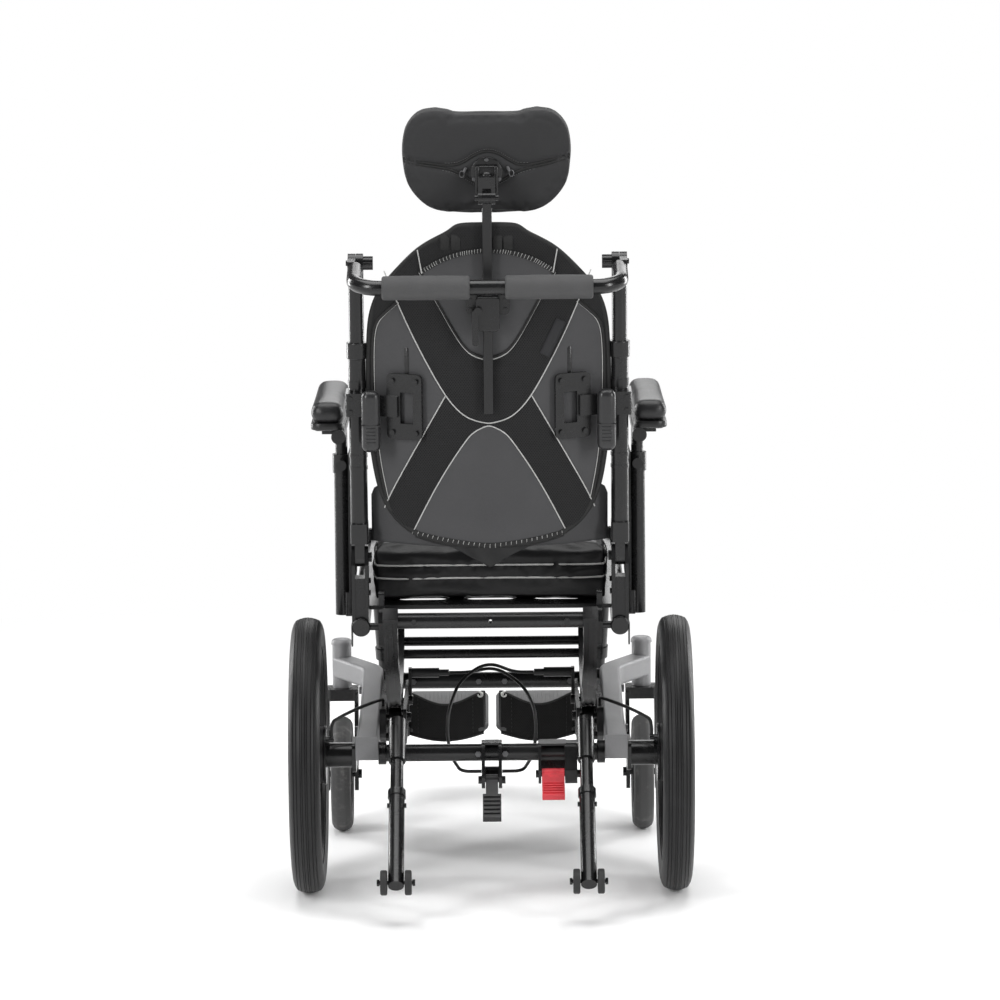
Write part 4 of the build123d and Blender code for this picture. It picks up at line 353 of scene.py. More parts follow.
BLACK_COAT = PowderCoat("black_coat", (0.008, 0.008, 0.0085), 0.27)
SATIN_TUBE = PowderCoat("satin_tube", (0.009, 0.009, 0.0095), 0.24, 0.3)
GREY_COAT = TexturedCoat("grey_coat", (0.23, 0.23, 0.235), 0.4)
ZINC = Metal("zinc_plate", (0.62, 0.62, 0.6), 0.34)
DARK_STEEL = Metal("dark_steel", (0.16, 0.16, 0.165), 0.4)
MOULDED = Moulded("black_plastic", (0.012, 0.012, 0.0125), 0.38)
GLOSS_PLASTIC = Moulded("gloss_plastic", (0.009, 0.009, 0.0095), 0.26, 0.2)
GUARD_PLASTIC = Moulded("guard_plastic", (0.012, 0.012, 0.0125), 0.58, 0.8)
RED_PLASTIC = Moulded("red_plastic", (0.68, 0.045, 0.06), 0.42, 0.4)
FOOT_PLASTIC = Moulded("foot_plastic", (0.045, 0.045, 0.046), 0.5)
LEVER_PLASTIC = Moulded("lever_plastic", (0.022, 0.022, 0.023), 0.3, 0.2)
TYRE = Rubber("tyre_rubber", (0.014, 0.014, 0.0145), 0.5)
SMALL_TYRE = Rubber("small_tyre_rubber", (0.03, 0.03, 0.03), 0.6)
JACKET = Rubber("cable_jacket", (0.012, 0.012, 0.012), 0.38, 0.2)
CUSHION_VINYL = Vinyl("cushion_vinyl", (0.009, 0.009, 0.0095), 0.42)
SHELL_FABRIC = Laminate("shell_fabric", (0.058, 0.058, 0.060), 0.6)
BACK_FABRIC = Laminate("back_fabric", (0.03, 0.03, 0.032), 0.85)
HEADREST_FABRIC = Laminate("headrest_fabric", (0.030, 0.030, 0.031), 0.75)
MESH = SpacerMesh("spacer_mesh", (0.014, 0.014, 0.0145), 0.7)
HEEL_MESH = SpacerMesh("heel_mesh", (0.008, 0.008, 0.008), 0.8)
PIPING = Webbing("grey_piping", (0.52, 0.52, 0.51), 0.7)
PIPING_DIM = Webbing("dark_thread", (0.16, 0.16, 0.16), 0.7)
BLACK_TAPE = Webbing("black_tape", (0.022, 0.022, 0.022), 0.62)
ARM_SKIN = SkinFoam("arm_pad_skin", (0.016, 0.016, 0.017), 0.36)
GRIP_FOAM = SkinFoam("grip_foam", (0.062, 0.062, 0.063), 0.75, 1.6)


# ---- Shapes -------------------------------------------------------------------------------------------------------
def move(*place: float | Vector) -> Matrix:
    """A shift by a vector, or by X, Y and Z, in metres."""
    return Matrix.Translation(place[0] if len(place) == 1 else place)


def turn_about(axis: str, degrees: float) -> Matrix:
    """A turn about one of the axes."""
    return Matrix.Rotation(math.radians(degrees), 4, axis)


def axes(across: Vector, ahead: Vector, up: Vector) -> Matrix:
    """A turn that takes X, Y and Z to the given directions."""
    return Matrix((across, ahead, up)).transposed().to_4x4()


def middle_of(node: str) -> Vector:
    """The middle of a CAD node's box."""
    low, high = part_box(node)
    return (low + high) / 2


AXLE_Y = middle_of("rear_tyre_left").y
LEAN = 5.3  # the back's lean at rest, in degrees
# The shell's own axes stand at the foot of its rear skin, and Z runs up it.
SHELL = move(0.0, AXLE_Y - 0.020, 0.501) @ turn_about("X", LEAN) @ move(0.0, -0.052, 0.0)
REAR = SHELL.to_3x3() @ Vector((0.0, -1.0, 0.0))
UP = SHELL.to_3x3() @ Vector((0.0, 0.0, 1.0))
PIPING_RADIUS = 0.0009


class Side(Enum):
    """The chair's two sides, as the sign of X."""

    LEFT = -1
    RIGHT = 1

    @property
    def word(self) -> str:
        """The side's name as the nodes spell it."""
        return self.name.lower()


def soften(shape: Shape, edges: Iterable[Edge], width: float, segments: int) -> Shape:
    """Rounds some of a shape's edges and gives it back."""
    bmesh.ops.bevel(shape, geom=list(edges), offset=width, offset_type="OFFSET", segments=segments, profile=0.5,
                    affect="EDGES", material=-1)
    return shape


def level_edges(shape: Shape) -> list[Edge]:
    """A shape's edges that run level."""
    return [edge for edge in shape.edges if abs(edge.verts[0].co.z - edge.verts[1].co.z) < 1e-7]


def face_out(shape: Shape, rearward: bool = False) -> Shape:
    """Turns a shape's faces outwards, or an open sheet's all to the rear, and gives it back."""
    bmesh.ops.recalc_face_normals(shape, faces=shape.faces)
    if rearward and sum(face.normal.y for face in shape.faces) > 0:
        bmesh.ops.reverse_faces(shape, faces=shape.faces)
    return shape


def raise_face(shape: Shape, face: bmesh.types.BMFace, height: float) -> None:
    """Extrudes a face straight up."""
    raised = bmesh.ops.extrude_face_region(shape, geom=[face])["geom"]
    bmesh.ops.translate(shape, vec=(0, 0, height), verts=[v for v in raised if isinstance(v, bmesh.types.BMVert)])


def sheet(columns: int, rows: int, place: Place) -> Shape:
    """An open sheet whose corners are put by place(across, up), both from -1 to 1."""
    shape = bmesh.new()
    bmesh.ops.create_grid(shape, x_segments=columns, y_segments=rows, size=1.0)
    for vertex in shape.verts:
        vertex.co = place(vertex.co.x, vertex.co.y)
    return shape


def rounded(size: Sequence[float], edge: float, segments: int = 3) -> Shape:
    """A block about the origin with rounded edges, in metres."""
    shape = bmesh.new()
    bmesh.ops.create_cube(shape, size=1.0)
    bmesh.ops.scale(shape, vec=size, verts=shape.verts)
    return soften(shape, shape.edges, edge, segments)


def block(size: Sequence[float], edge: float, place: Matrix, segments: int = 3) -> Shape:
    """A rounded block at a place."""
    return at(rounded(size, edge, segments), place)


def drum(radius: float, length: float, edge: float, sides: int) -> Shape:
    """A short round bar about the origin along Z with softened ends."""
    shape = bmesh.new()
    bmesh.ops.create_cone(shape, cap_ends=True, segments=sides, radius1=radius, radius2=radius, depth=length)
    return soften(shape, level_edges(shape), edge, 3)


def lathe(profile: Sequence[Flat], steps: int) -> Shape:
    """Turns a closed outline of (along, radius) in metres about the X axis."""
    shape = bmesh.new()
    corners = [shape.verts.new((along, 0.0, radius)) for along, radius in profile]
    edges = [shape.edges.new((a, b)) for a, b in zip(corners, corners[1:] + corners[:1])]
    bmesh.ops.spin(shape, geom=corners + edges, axis=(1, 0, 0), cent=(0, 0, 0), angle=math.tau, steps=steps,
                   use_merge=True)
    bmesh.ops.remove_doubles(shape, verts=shape.verts, dist=1e-6)
    return face_out(shape)


def slab(outline: Sequence[Flat], thick: float, edge: float) -> Shape:
    """A plate from a closed (X, Y) outline in metres, from Z = 0 up, its two rims softened."""
    shape = bmesh.new()
    raise_face(shape, shape.faces.new([shape.verts.new((x, y, 0.0)) for x, y in outline]), thick)
    return soften(face_out(shape), level_edges(shape), edge, 2)


def round_outline(width: float, height: float, corner: float, steps: int = 6) -> list[Flat]:
    """A rounded rectangle's outline about the origin."""
    points = []
    for quarter, (right, top) in enumerate(((1, 1), (-1, 1), (-1, -1), (1, -1))):
        for step in range(steps + 1):
            angle = (quarter + step / steps) * math.pi / 2
            points.append((right * (width / 2 - corner) + corner * math.cos(angle),
                           top * (height / 2 - corner) + corner * math.sin(angle)))
    return points


def line_through(points: Sequence[Vector], closed: bool = False, resolution: int = 10) -> list[Vector]:
    """Points along the smooth line that a NURBS spline draws by these points."""
    curve = bpy.data.curves.new("line", "CURVE")
    curve.dimensions = "3D"
    curve.resolution_u = resolution
    spline = curve.splines.new("NURBS")
    spline.points.add(len(points) - 1)
    for slot, point in zip(spline.points, points):
        slot.co = (*point, 1.0)
    spline.use_cyclic_u = closed
    spline.use_endpoint_u = not closed
    spline.order_u = 3  # quadratic, so that it stays close to its points
    holder = bpy.data.objects.new("line", curve)
    mesh = bpy.data.meshes.new_from_object(holder)
    line = [vertex.co.copy() for vertex in mesh.vertices]
    bpy.data.objects.remove(holder)
    bpy.data.curves.remove(curve)
    bpy.data.meshes.remove(mesh)
    return line


def pipe(line: Sequence[Vector], radius: float, sides: int = 10, closed: bool = False,
         squash: float = 1.0, up: Vector | None = None) -> Shape:
    """A tube along a line of close points.

    Args:
        line: The points it follows.
        radius: Half its width.
        sides: How many faces go round it.
        closed: Whether its end joins its start.
        squash: Its height as a share of its width.
        up: The direction in which it is squashed, or None.

    Returns:
        The tube, with its ends closed.
    """
    shape = bmesh.new()
    count = len(line)
    rings = []
    across = None
    for place, point in enumerate(line):
        before = line[place - 1] if place or closed else point
        after = line[(place + 1) % count] if place < count - 1 or closed else point
        ahead = (after - before).normalized()
        if up is not None:
            across = ahead.cross(up).normalized()
        elif across is None:
            across = ahead.orthogonal().normalized()
        else:
            across = (across - ahead * across.dot(ahead)).normalized()
        ring = bmesh.ops.create_circle(shape, segments=sides, radius=radius)["verts"]
        bmesh.ops.scale(shape, vec=(1.0, squash, 1.0), verts=ring)
        bmesh.ops.transform(shape, matrix=move(point) @ axes(across, across.cross(ahead), ahead), verts=ring)
        rings.append(list({edge for vertex in ring for edge in vertex.link_edges}))
    for first, second in zip(rings, rings[1:] + (rings[:1] if closed else [])):
        bmesh.ops.bridge_loops(shape, edges=first + second)
    if not closed:
        bmesh.ops.holes_fill(shape, edges=rings[0] + rings[-1], sides=0)
    return face_out(shape)


def cap_screw(radius: float, height: float) -> Shape:
    """A socket head screw standing on Z = 0 along +Z, with its round hole."""
    shape = bmesh.new()
    bmesh.ops.create_circle(shape, cap_ends=True, segments=24, radius=radius)
    raise_face(shape, shape.faces[:][0], height)
    top = max(shape.faces, key=lambda face: face.calc_center_median().z)
    soften(shape, top.edges, radius * 0.16, 2)
    top = max(shape.faces, key=lambda face: (round(face.calc_center_median().z, 6), face.calc_area()))
    bmesh.ops.inset_region(shape, faces=[top], thickness=radius * 0.36)
    raise_face(shape, top, -height * 0.5)
    bmesh.ops.delete(shape, geom=[top], context="FACES_ONLY")
    return face_out(shape)


def mesh_of(shape: Shape, name: str) -> Mesh:
    """A shape's mesh; the shape is used up."""
    mesh = bpy.data.meshes.new(name)
    shape.to_mesh(mesh)
    shape.free()
    return mesh


def join(shapes: Iterable[Shape]) -> Shape:
    """One mesh that holds all the shapes, which are used up."""
    whole = bmesh.new()
    for shape in shapes:
        part = mesh_of(shape, "part")
        whole.from_mesh(part)
        bpy.data.meshes.remove(part)
    return whole


def at(shape: Shape, matrix: Matrix) -> Shape:
    """Moves a shape and gives it back, faces still outwards."""
    bmesh.ops.transform(shape, matrix=matrix, verts=shape.verts)
    if matrix.determinant() < 0:
        bmesh.ops.reverse_faces(shape, faces=shape.faces)
    return shape


def twin(shape: Shape, side: Side) -> Shape:
    """A right hand shape, mirrored if the left one is wanted."""
    return shape if side is Side.RIGHT else at(shape, Matrix.Scale(-1, 4, (1, 0, 0)))


def placed(name: str, data: bpy.types.ID) -> Object:
    """A new object in the scene."""
    made = bpy.data.objects.new(name, data)
    bpy.context.scene.collection.objects.link(made)
    return made


def piece(name: str, shape: Shape | Mesh, finish: Finish, body: str, *, replaces: Sequence[str] = (),
          slot: str | None = None, crease: float = 35.0) -> Object:
    """Turns a shape or a mesh into a finished piece that rides on a body.

    Args:
        name: The piece's name.
        shape: Its form, in the chair's own frame, which is used up.
        finish: What its surface is.
        body: The CAD body that it moves with.
        replaces: CAD nodes that it stands for.
        slot: The record's material slot, if it isn't the node's own; not used.
        crease: Edges sharper than this many degrees stay sharp.

    Returns:
        The new object.
    """
    mesh = mesh_of(shape, name) if isinstance(shape, Shape) else shape
    made = placed(name, mesh)
    if mesh.materials:
        mesh.materials.clear()
    mesh.materials.append(finish.material())
    mesh.shade_smooth()
    mesh.set_sharp_from_angle(angle=math.radians(crease))
    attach(made, body)
    if replaces:
        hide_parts(*replaces)
    log.info("%s rides on %s", name, body)
    return made


def padded(name: str, mesh: Mesh, finish: Finish, body: str, node: str, fill: float, **others: object) -> None:
    """A stuffed piece in place of its plain solid; the fill, how full it is, is not used."""
    piece(name, mesh, finish, body, replaces=[node], **others)


def thicken(made: Object, thickness: float, offset: float) -> None:
    """Gives a sheet its thickness."""
    thick = made.modifiers.new("thick", "SOLIDIFY")
    thick.thickness, thick.offset = thickness, offset


def dress(names: Iterable[str], finish: Finish) -> None:
    """Gives CAD nodes a finish."""
    for name in names:
        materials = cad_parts[name].data.materials
        materials.clear()
        materials.append(finish.material())


# ---- Studio -------------------------------------------------------------------------------------------------------
@dataclass(frozen=True)
class Floor(Finish):
    """White seamless paper, which keeps shadows near the chair and is plain white far away."""

    near: float = 0.7
    far: float = 2.4

    def mix(self, recipe: Recipe) -> Material:
        """Builds the material."""
        across, along = recipe.axis("X"), recipe.axis("Y")
        away = (across * across + along * along) ** 0.5
        seen = recipe.node("ShaderNodeLightPath").outputs
        direct = Term(recipe, seen["Is Camera Ray"]).most(Term(recipe, seen["Is Glossy Ray"]))
        direct = direct.most(Term(recipe, seen["Is Transmission Ray"]))
        white = recipe.node("ShaderNodeEmission", None, {"Color": (1.0, 1.0, 1.0), "Strength": 1.0})
        paper = recipe.finish(self.colour, self.roughness, specular_ior_level=0.1)
        mixed = recipe.node("ShaderNodeMixShader", None, {0: direct * away.ramp(self.near, self.far),
                                                          1: recipe.shader.outputs[0], 2: white.outputs[0]})
        recipe.feed(recipe.tree.nodes["Material Output"].inputs["Surface"], mixed.outputs[0])
        return paper


@dataclass(frozen=True)
class Lamp:
    """One soft area light that looks at a point; its size is across by up."""

    name: str
    place: Sequence[float]
    target: Sequence[float]
    size: Sequence[float]
    power: float

    def build(self) -> None:
        """Makes the light."""
        light = bpy.data.lights.new(self.name, "AREA")
        light.shape = "RECTANGLE"
        light.size, light.size_y = self.size
        light.energy = self.power
        made = placed(self.name, light)
        made.location = self.place
        made.rotation_euler = (Vector(self.target) - Vector(self.place)).to_track_quat("-Z", "Y").to_euler()


@dataclass
class Studio:
    """The floor, the light and the camera at the photograph's angle."""

    eye: Sequence[float] = (0.0153, -7.152, 1.55)
    pitch: float = 8.0
    roll: float = 0.48
    lens: float = 171.4
    floor_half: float = 70.0
    world: float = 0.26
    reflected: float = 0.08
    lamps: Sequence[Lamp] = (
        Lamp("overhead", (0.0, -0.2, 3.4), (0.0, 0.0, 0.4), (3.0, 2.6), 92.0),
        Lamp("rear_left", (-3.2, -3.4, 2.4), (0.0, 0.0, 0.6), (0.9, 2.4), 105.0),
        Lamp("rear_right", (3.4, -3.0, 2.0), (0.0, 0.0, 0.6), (0.7, 2.4), 84.0),
        Lamp("front", (0.6, 4.2, 2.6), (0.0, 0.0, 0.6), (3.0, 2.0), 50.0),
        Lamp("edge_left", (-2.7, 1.9, 1.3), (0.0, 0.0, 0.7), (0.6, 2.4), 70.0),
        Lamp("edge_right", (2.7, 1.9, 1.3), (0.0, 0.0, 0.7), (0.6, 2.4), 70.0),
    )

    def build(self) -> None:
        """Makes everything round the chair."""
        self._floor()
        self._sky()
        for lamp in self.lamps:
            lamp.build()
        self._camera()
        bpy.context.scene.view_settings.view_transform = "Standard"

    def _floor(self) -> None:
        """A wide sheet of white paper."""
        made = placed("floor", mesh_of(sheet(1, 1, lambda x, y: Vector((x, y, 0.0)) * self.floor_half), "floor"))
        made.data.materials.append(Floor("white_paper", (0.93, 0.93, 0.93), 0.9).material())

    def _sky(self) -> None:
        """Even white light from all round, white itself in the picture and dim in reflections."""
        world = bpy.data.worlds.new("studio")
        world.use_nodes = True
        tree = world.node_tree
        path = tree.nodes.new("ShaderNodeLightPath")
        shader = None
        for ray, strength in ((None, self.world), ("Is Glossy Ray", self.reflected), ("Is Camera Ray", 1.0)):
            back = tree.nodes.new("ShaderNodeBackground") if ray else tree.nodes["Background"]
            back.inputs["Color"].default_value = (1.0, 1.0, 1.0, 1.0)
            back.inputs["Strength"].default_value = strength
            if ray:
                mixed = tree.nodes.new("ShaderNodeMixShader")
                for socket, given in enumerate((path.outputs[ray], shader, back.outputs[0])):
                    tree.links.new(given, mixed.inputs[socket])
                shader = mixed.outputs[0]
            else:
                shader = back.outputs[0]
        tree.links.new(shader, tree.nodes["World Output"].inputs[0])
        bpy.context.scene.world = world

    def _camera(self) -> None:
        """The camera, level across apart from the photograph's slight roll."""
        lens = bpy.data.cameras.new("camera")
        lens.lens, lens.sensor_width = self.lens, 36.0
        lens.clip_start, lens.clip_end = 0.1, 200.0
        made = placed("camera", lens)
        made.matrix_world = move(self.eye) @ turn_about("X", 90 - self.pitch) @ turn_about("Z", -self.roll)
        bpy.context.scene.camera = made


# ---- Soft goods ---------------------------------------------------------------------------------------------------
def copy_of(node: str, kept: Callable[[Vector], bool] | None = None) -> Shape:
    """A CAD node's mesh with its loose triangles merged, or only the part where kept(point) holds."""
    shape = bmesh.new()
    shape.from_mesh(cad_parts[node].data)
    bmesh.ops.remove_doubles(shape, verts=shape.verts, dist=1e-5)
    if kept:
        bmesh.ops.delete(shape, geom=[v for v in shape.verts if not kept(v.co)], context="VERTS")
    return shape


def displace(vertices: Iterable, rise: Callable[[Vector], float]) -> None:
    """Moves vertices along their normals by rise(place), all worked out before any moves."""
    for vertex, place in [(vertex, vertex.co + vertex.normal * rise(vertex.co)) for vertex in vertices]:
        vertex.co = place


@dataclass
class Stuffing:
    """How a pad is filled: its outline drawn in, remeshed, blown up with cloth and subdivided.

    No vertex swells further than the cap.
    """

    voxel: float
    pressure: float
    cap: float
    draw_in: float
    stiffness: float = 15.0
    frames: int = 20

    def fill(self, shape: Shape, passes: int = 3) -> Mesh:
        """Turns a closed shape, which is used up and smoothed by some passes, into a stuffed mesh."""
        holder = placed("stuffing", mesh_of(shape, "stuffing"))
        remesh = holder.modifiers.new("remesh", "REMESH")
        remesh.mode, remesh.voxel_size = "VOXEL", self.voxel
        self._apply(holder)
        form = bmesh.new()
        form.from_mesh(holder.data)
        form.normal_update()
        displace(form.verts, lambda _: -self.draw_in)
        for _ in range(passes):
            bmesh.ops.smooth_vert(form, verts=form.verts, factor=0.5, use_axis_x=True, use_axis_y=True,
                                  use_axis_z=True)
        form.to_mesh(holder.data)
        form.free()
        self._swell(holder)
        divide = holder.modifiers.new("divide", "SUBSURF")
        divide.levels = divide.render_levels = 1
        self._apply(holder)
        filled = holder.data
        bpy.data.objects.remove(holder)
        return filled

    def _swell(self, holder: Object) -> None:
        """Blows the form up with cloth."""
        rest = [vertex.co.copy() for vertex in holder.data.vertices]
        cloth = holder.modifiers.new("cloth", "CLOTH")
        cloth.settings.use_pressure = True
        cloth.settings.uniform_pressure_force = self.pressure
        cloth.settings.tension_stiffness = cloth.settings.compression_stiffness = self.stiffness
        cloth.settings.effector_weights.gravity = 0.0
        cloth.point_cache.frame_start, cloth.point_cache.frame_end = 1, self.frames
        for number in range(1, self.frames + 1):
            bpy.context.scene.frame_set(number)
        self._apply(holder)
        for vertex, start in zip(holder.data.vertices, rest):
            moved = vertex.co - start
            if moved.length > self.cap:
                vertex.co = start + moved * (self.cap / moved.length)
        bpy.context.scene.frame_set(1)

    @staticmethod
    def _apply(holder: Object) -> None:
        """Applies a holder's modifiers to its mesh."""
        graph = bpy.context.evaluated_depsgraph_get()
        graph.update()
        mesh = bpy.data.meshes.new_from_object(holder.evaluated_get(graph))
        holder.modifiers.clear()
        holder.data = mesh


def near_line(points: Sequence[Vector]) -> kdtree.KDTree:
    """A search tree over a line's close points."""
    tree = kdtree.KDTree(len(points))
    for number, point in enumerate(points):
        tree.insert(point, number)
    tree.balance()
    return tree


def sew(mesh: Mesh, lines: Sequence[Sequence[Vector]], depth: float, width: float) -> None:
    """Draws a stuffed surface in along seams, given as close points, over about a width to each side."""
    tree = near_line([point for line in lines for point in line])

    def rise(place: Vector) -> float:
        """How far the surface moves at a place."""
        away = tree.find(place)[2]
        return -depth * math.exp(-((away / width) ** 2)) if away < 3 * width else 0.0

    displace(mesh.vertices, rise)


def crumple(mesh: Mesh, depth: float, scale: Sequence[float]) -> None:
    """Raises and lowers a surface along its normals by smooth noise, with scale in waves to the metre."""
    waves = Matrix.Diagonal(scale)
    displace(mesh.vertices, lambda place: depth * noise.noise(waves @ place))


def laid_on(mesh: Mesh, points: Sequence[Vector], out: Vector | Callable[[Vector], Vector],
            lift: float = 0.0) -> list[Vector]:
    """Points moved onto a surface from outside.

    Args:
        mesh: The surface.
        points: Where to look.
        out: The outward direction, or what gives it at a point.
        lift: How far off the surface they end.

    Returns:
        The places on the surface, for the points that have one.
    """
    tree = bvhtree.BVHTree.FromPolygons([v.co for v in mesh.vertices], [p.vertices for p in mesh.polygons])
    laid = []
    for point in points:
        away = (out(point) if callable(out) else out).normalized()
        hit = tree.ray_cast(point + away * 0.12, -away)[0]
        if hit is not None:
            laid.append(hit + away * lift)
    return laid


def evened(line: Sequence[Vector], passes: int, closed: bool = False) -> list[Vector]:
    """A line of close points with its small steps smoothed out."""
    points = list(line)
    for _ in range(passes):
        last = len(points) - 1
        points = [
            point if not closed and place in (0, last)
            else (points[place - 1] + point * 2 + points[(place + 1) % len(points)]) / 4
            for place, point in enumerate(points)
        ]
    return points


def filled_in(points: Sequence[Vector], parts: int) -> list[Vector]:
    """A line with each of its steps cut into parts."""
    return [a.lerp(b, share / parts) for a, b in zip(points, points[1:]) for share in range(parts)]


# ---- Shell cover --------------------------------------------------------------------------------------------------
def inside(point: Flat, outline: Sequence[Flat]) -> bool:
    """Whether a point lies in a closed outline."""
    x, y = point
    within = False
    for (x1, y1), (x2, y2) in zip(outline, list(outline[1:]) + [outline[0]]):
        if (y1 > y) != (y2 > y) and x < (x2 - x1) * (y - y1) / (y2 - y1) + x1:
            within = not within
    return within


@dataclass
class ShellCover:
    """The laminated cover on the back of the shell: grey panels, black straps that cross, and light piping.

    All places are (X, height along the back) in millimetres on the shell's rear skin.
    """

    half: float = 172.0
    depth: float = 46.0
    thick: float = 5.0
    lift: float = 0.9
    strap_lift: float = 2.4
    columns: int = 150
    rows: int = 190
    strap_low: Sequence[Flat] = ((0, 209.5), (22, 212.6), (44, 227), (66, 255), (101.5, 321), (130, 383), (148, 428))
    strap_top: Sequence[Flat] = ((0, 302), (20, 306.5), (36.6, 321), (57, 356), (75, 390), (97, 428))
    apron: Sequence[Flat] = ((0, 207), (21, 200), (38, 177), (62, 140), (88, 93), (111, 45))
    cross: Sequence[Flat] = ((62, 249), (100, 181), (148, 91), (152, 78))
    rim: Sequence[Flat] = ((130, 383), (150, 365), (162, 350), (166.5, 322), (167, 265), (164, 190), (157, 130),
                           (148, 91))
    arch: Sequence[Flat] = ((97, 428), (76, 443), (52, 454), (26, 461), (0, 463))
    hem: Sequence[Flat] = ((111, 45), (58, 33), (0, 28))
    shoulder: Sequence[Flat] = ((93, 428), (95, 438), (97, 452), (99, 462))
    loop: Sequence[Flat] = ((464, 2.6), (468, 4.2), (476, 4.8), (482, 3.4), (486, 1.6))
    loops: Sequence[float] = (-59.5, -44.5, 14.5, 29.5)
    slot: Flat = (117.0, 296.0)
    slot_half: Flat = (9.0, 26.0)
    tag: Flat = (92.0, 333.0)
    tag_turn: float = -27.0
    seam_width: float = 9.0
    ripple: float = 0.35

    def __post_init__(self) -> None:
        """Works out the skin's radius, smooths the seams and outlines the panels."""
        self.radius = (self.half ** 2 + self.depth ** 2) / (2 * self.depth) + self.thick
        self.lines = {name: self._smooth(getattr(self, name)) for name in
                      ("strap_low", "strap_top", "apron", "cross", "rim", "arch", "hem")}
        self.panels = [
            self._whole("strap_top") + self._whole("arch")[::-1],
            self._whole("apron") + self._whole("hem")[::-1],
            self._flank(1), self._flank(-1),
        ]
        self.seams = near_line([Vector((side * x, up, 0.0)) for line in self.lines.values() for x, up in line
                                for side in (-1, 1)])
        self.edge = self._outline()

    @staticmethod
    def _smooth(points: Sequence[Flat]) -> list[Flat]:
        """Close points on a smooth line through a seam's measured ones."""
        line = line_through([Vector((x, up, 0.0)) for x, up in points], resolution=8)
        return [(point.x, point.y) for point in line]

    def _whole(self, name: str) -> list[Flat]:
        """A seam that crosses the middle, from left to right."""
        right = sorted(self.lines[name])
        return [(-x, up) for x, up in right[::-1]] + right

    def _flank(self, side: int) -> list[Flat]:
        """The outline of a side panel, between the lower strap's seam, the rim and the crossing seam."""
        low = sorted((x, up) for x, up in self.lines["strap_low"] if 62 <= x <= 130)
        outline = low + self.lines["rim"] + sorted(self.lines["cross"], reverse=True)[8:]
        return [(side * x, up) for x, up in outline]

    def _outline(self) -> list[Flat]:
        """The shell's right edge from the tip up, read from the CAD shell, without its slot."""
        back = SHELL.inverted()
        widest: dict[float, float] = {}
        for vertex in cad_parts["back_shell"].data.vertices:
            place = back @ vertex.co / MM
            height = round(place.z, 1)
            if abs(place.x) > widest.get(height, -1.0):
                widest[height] = abs(place.x)
        return [(x, up) for up, x in sorted(widest.items())
                if not (abs(x - self.slot[0]) < self.slot_half[0] and abs(up - self.slot[1]) < self.slot_half[1])]

    def _reach(self, up: float) -> float:
        """The shell's half width at a height."""
        for (x1, u1), (x2, u2) in zip(self.edge, self.edge[1:]):
            if u1 <= up <= u2:
                return x1 + (x2 - x1) * (up - u1) / max(u2 - u1, 1e-6)
        return 0.0

    def _in_panel(self, point: Flat) -> bool:
        """Whether a place lies in one of the grey panels."""
        return any(inside(point, panel) for panel in self.panels)

    def spot(self, x: float, up: float, lift: float) -> Vector:
        """A place on the shell's rear skin, lifted off it, in the chair's own frame."""
        turn = math.asin(max(-1.0, min(1.0, x / self.radius)))
        far = self.radius + lift
        return SHELL @ (Vector((far * math.sin(turn), self.radius - far * math.cos(turn), up)) * MM)

    def lift_at(self, x: float, up: float) -> float:
        """How far the cover stands off the shell at a place."""
        away = self.seams.find(Vector((x, up, 0.0)))[2]
        swell = 1.0 - math.exp(-((away / self.seam_width) ** 2))
        if self._in_panel((x, up)):
            return self.lift + 0.25 * swell
        ripple = self.ripple * math.sin(x * 0.055 + up * 0.09) * math.sin(up * 0.031 - x * 0.02)
        return self.lift + (self.strap_lift + ripple) * swell

    def run(self, places: Iterable[Sequence[float]], passes: int = 4) -> list[Vector]:
        """A line over the shell by (X, height, lift) places, with its small steps smoothed out."""
        return evened([self.spot(*place) for place in places], passes)

    def cord_at(self, places: Iterable[Sequence[float]], radius: float = PIPING_RADIUS, sides: int = 8) -> Shape:
        """A round cord over the shell by (X, height, lift) places."""
        return pipe(self.run(places), radius, sides)

    def stand(self, x: float, up: float, lift: float) -> Matrix:
        """A frame on the shell with Y up its skin and Z straight off it."""
        centre = self.spot(x, up, lift)
        out = (self.spot(x, up, lift + 10.0) - centre).normalized()
        high = (self.spot(x, up + 1, lift) - centre).normalized()
        return move(centre) @ axes(high.cross(out), high, out)

    def sewn(self, name: str, shapes: Iterable[Shape], finish: Finish, crease: float = 80) -> Object:
        """A part of the cover from its shapes."""
        return piece(name, join(shapes), finish, "back", slot="shell_laminate", crease=crease)

    def build(self) -> None:
        """Makes the cover, its piping and its small parts."""
        self._cloth()
        self._piping()
        self._stitches()
        self._binding()
        self._slots()
        self._tag()
        self._loops()
        self._flap()

    def _cloth(self) -> None:
        """The cover itself: one sheet, grey where it lies in a panel and black elsewhere."""
        low, high = self.edge[0][1], self.edge[-1][1]
        shape = sheet(self.columns, self.rows, lambda across, up: Vector((across, up, 0.0)))
        places: dict[bmesh.types.BMVert, Flat] = {}
        for vertex in shape.verts:
            share = (1 - math.cos(math.pi * (vertex.co.y + 1) / 2)) / 2
            up = low + 0.6 + (high - low - 1.2) * share
            places[vertex] = (vertex.co.x * max(1.0, self._reach(up) - 0.4), up)
        for face in shape.faces:
            middle = tuple(sum(places[vertex][axis] for vertex in face.verts) / 4 for axis in (0, 1))
            face.material_index = int(self._in_panel(middle))
        for vertex, (x, up) in places.items():
            vertex.co = self.spot(x, up, self.lift_at(x, up))
        made = piece("shell_cover", face_out(shape, rearward=True), MESH, "back", slot="shell_laminate", crease=60)
        made.data.materials.append(SHELL_FABRIC.material())
        thicken(made, 0.0008, -1.0)

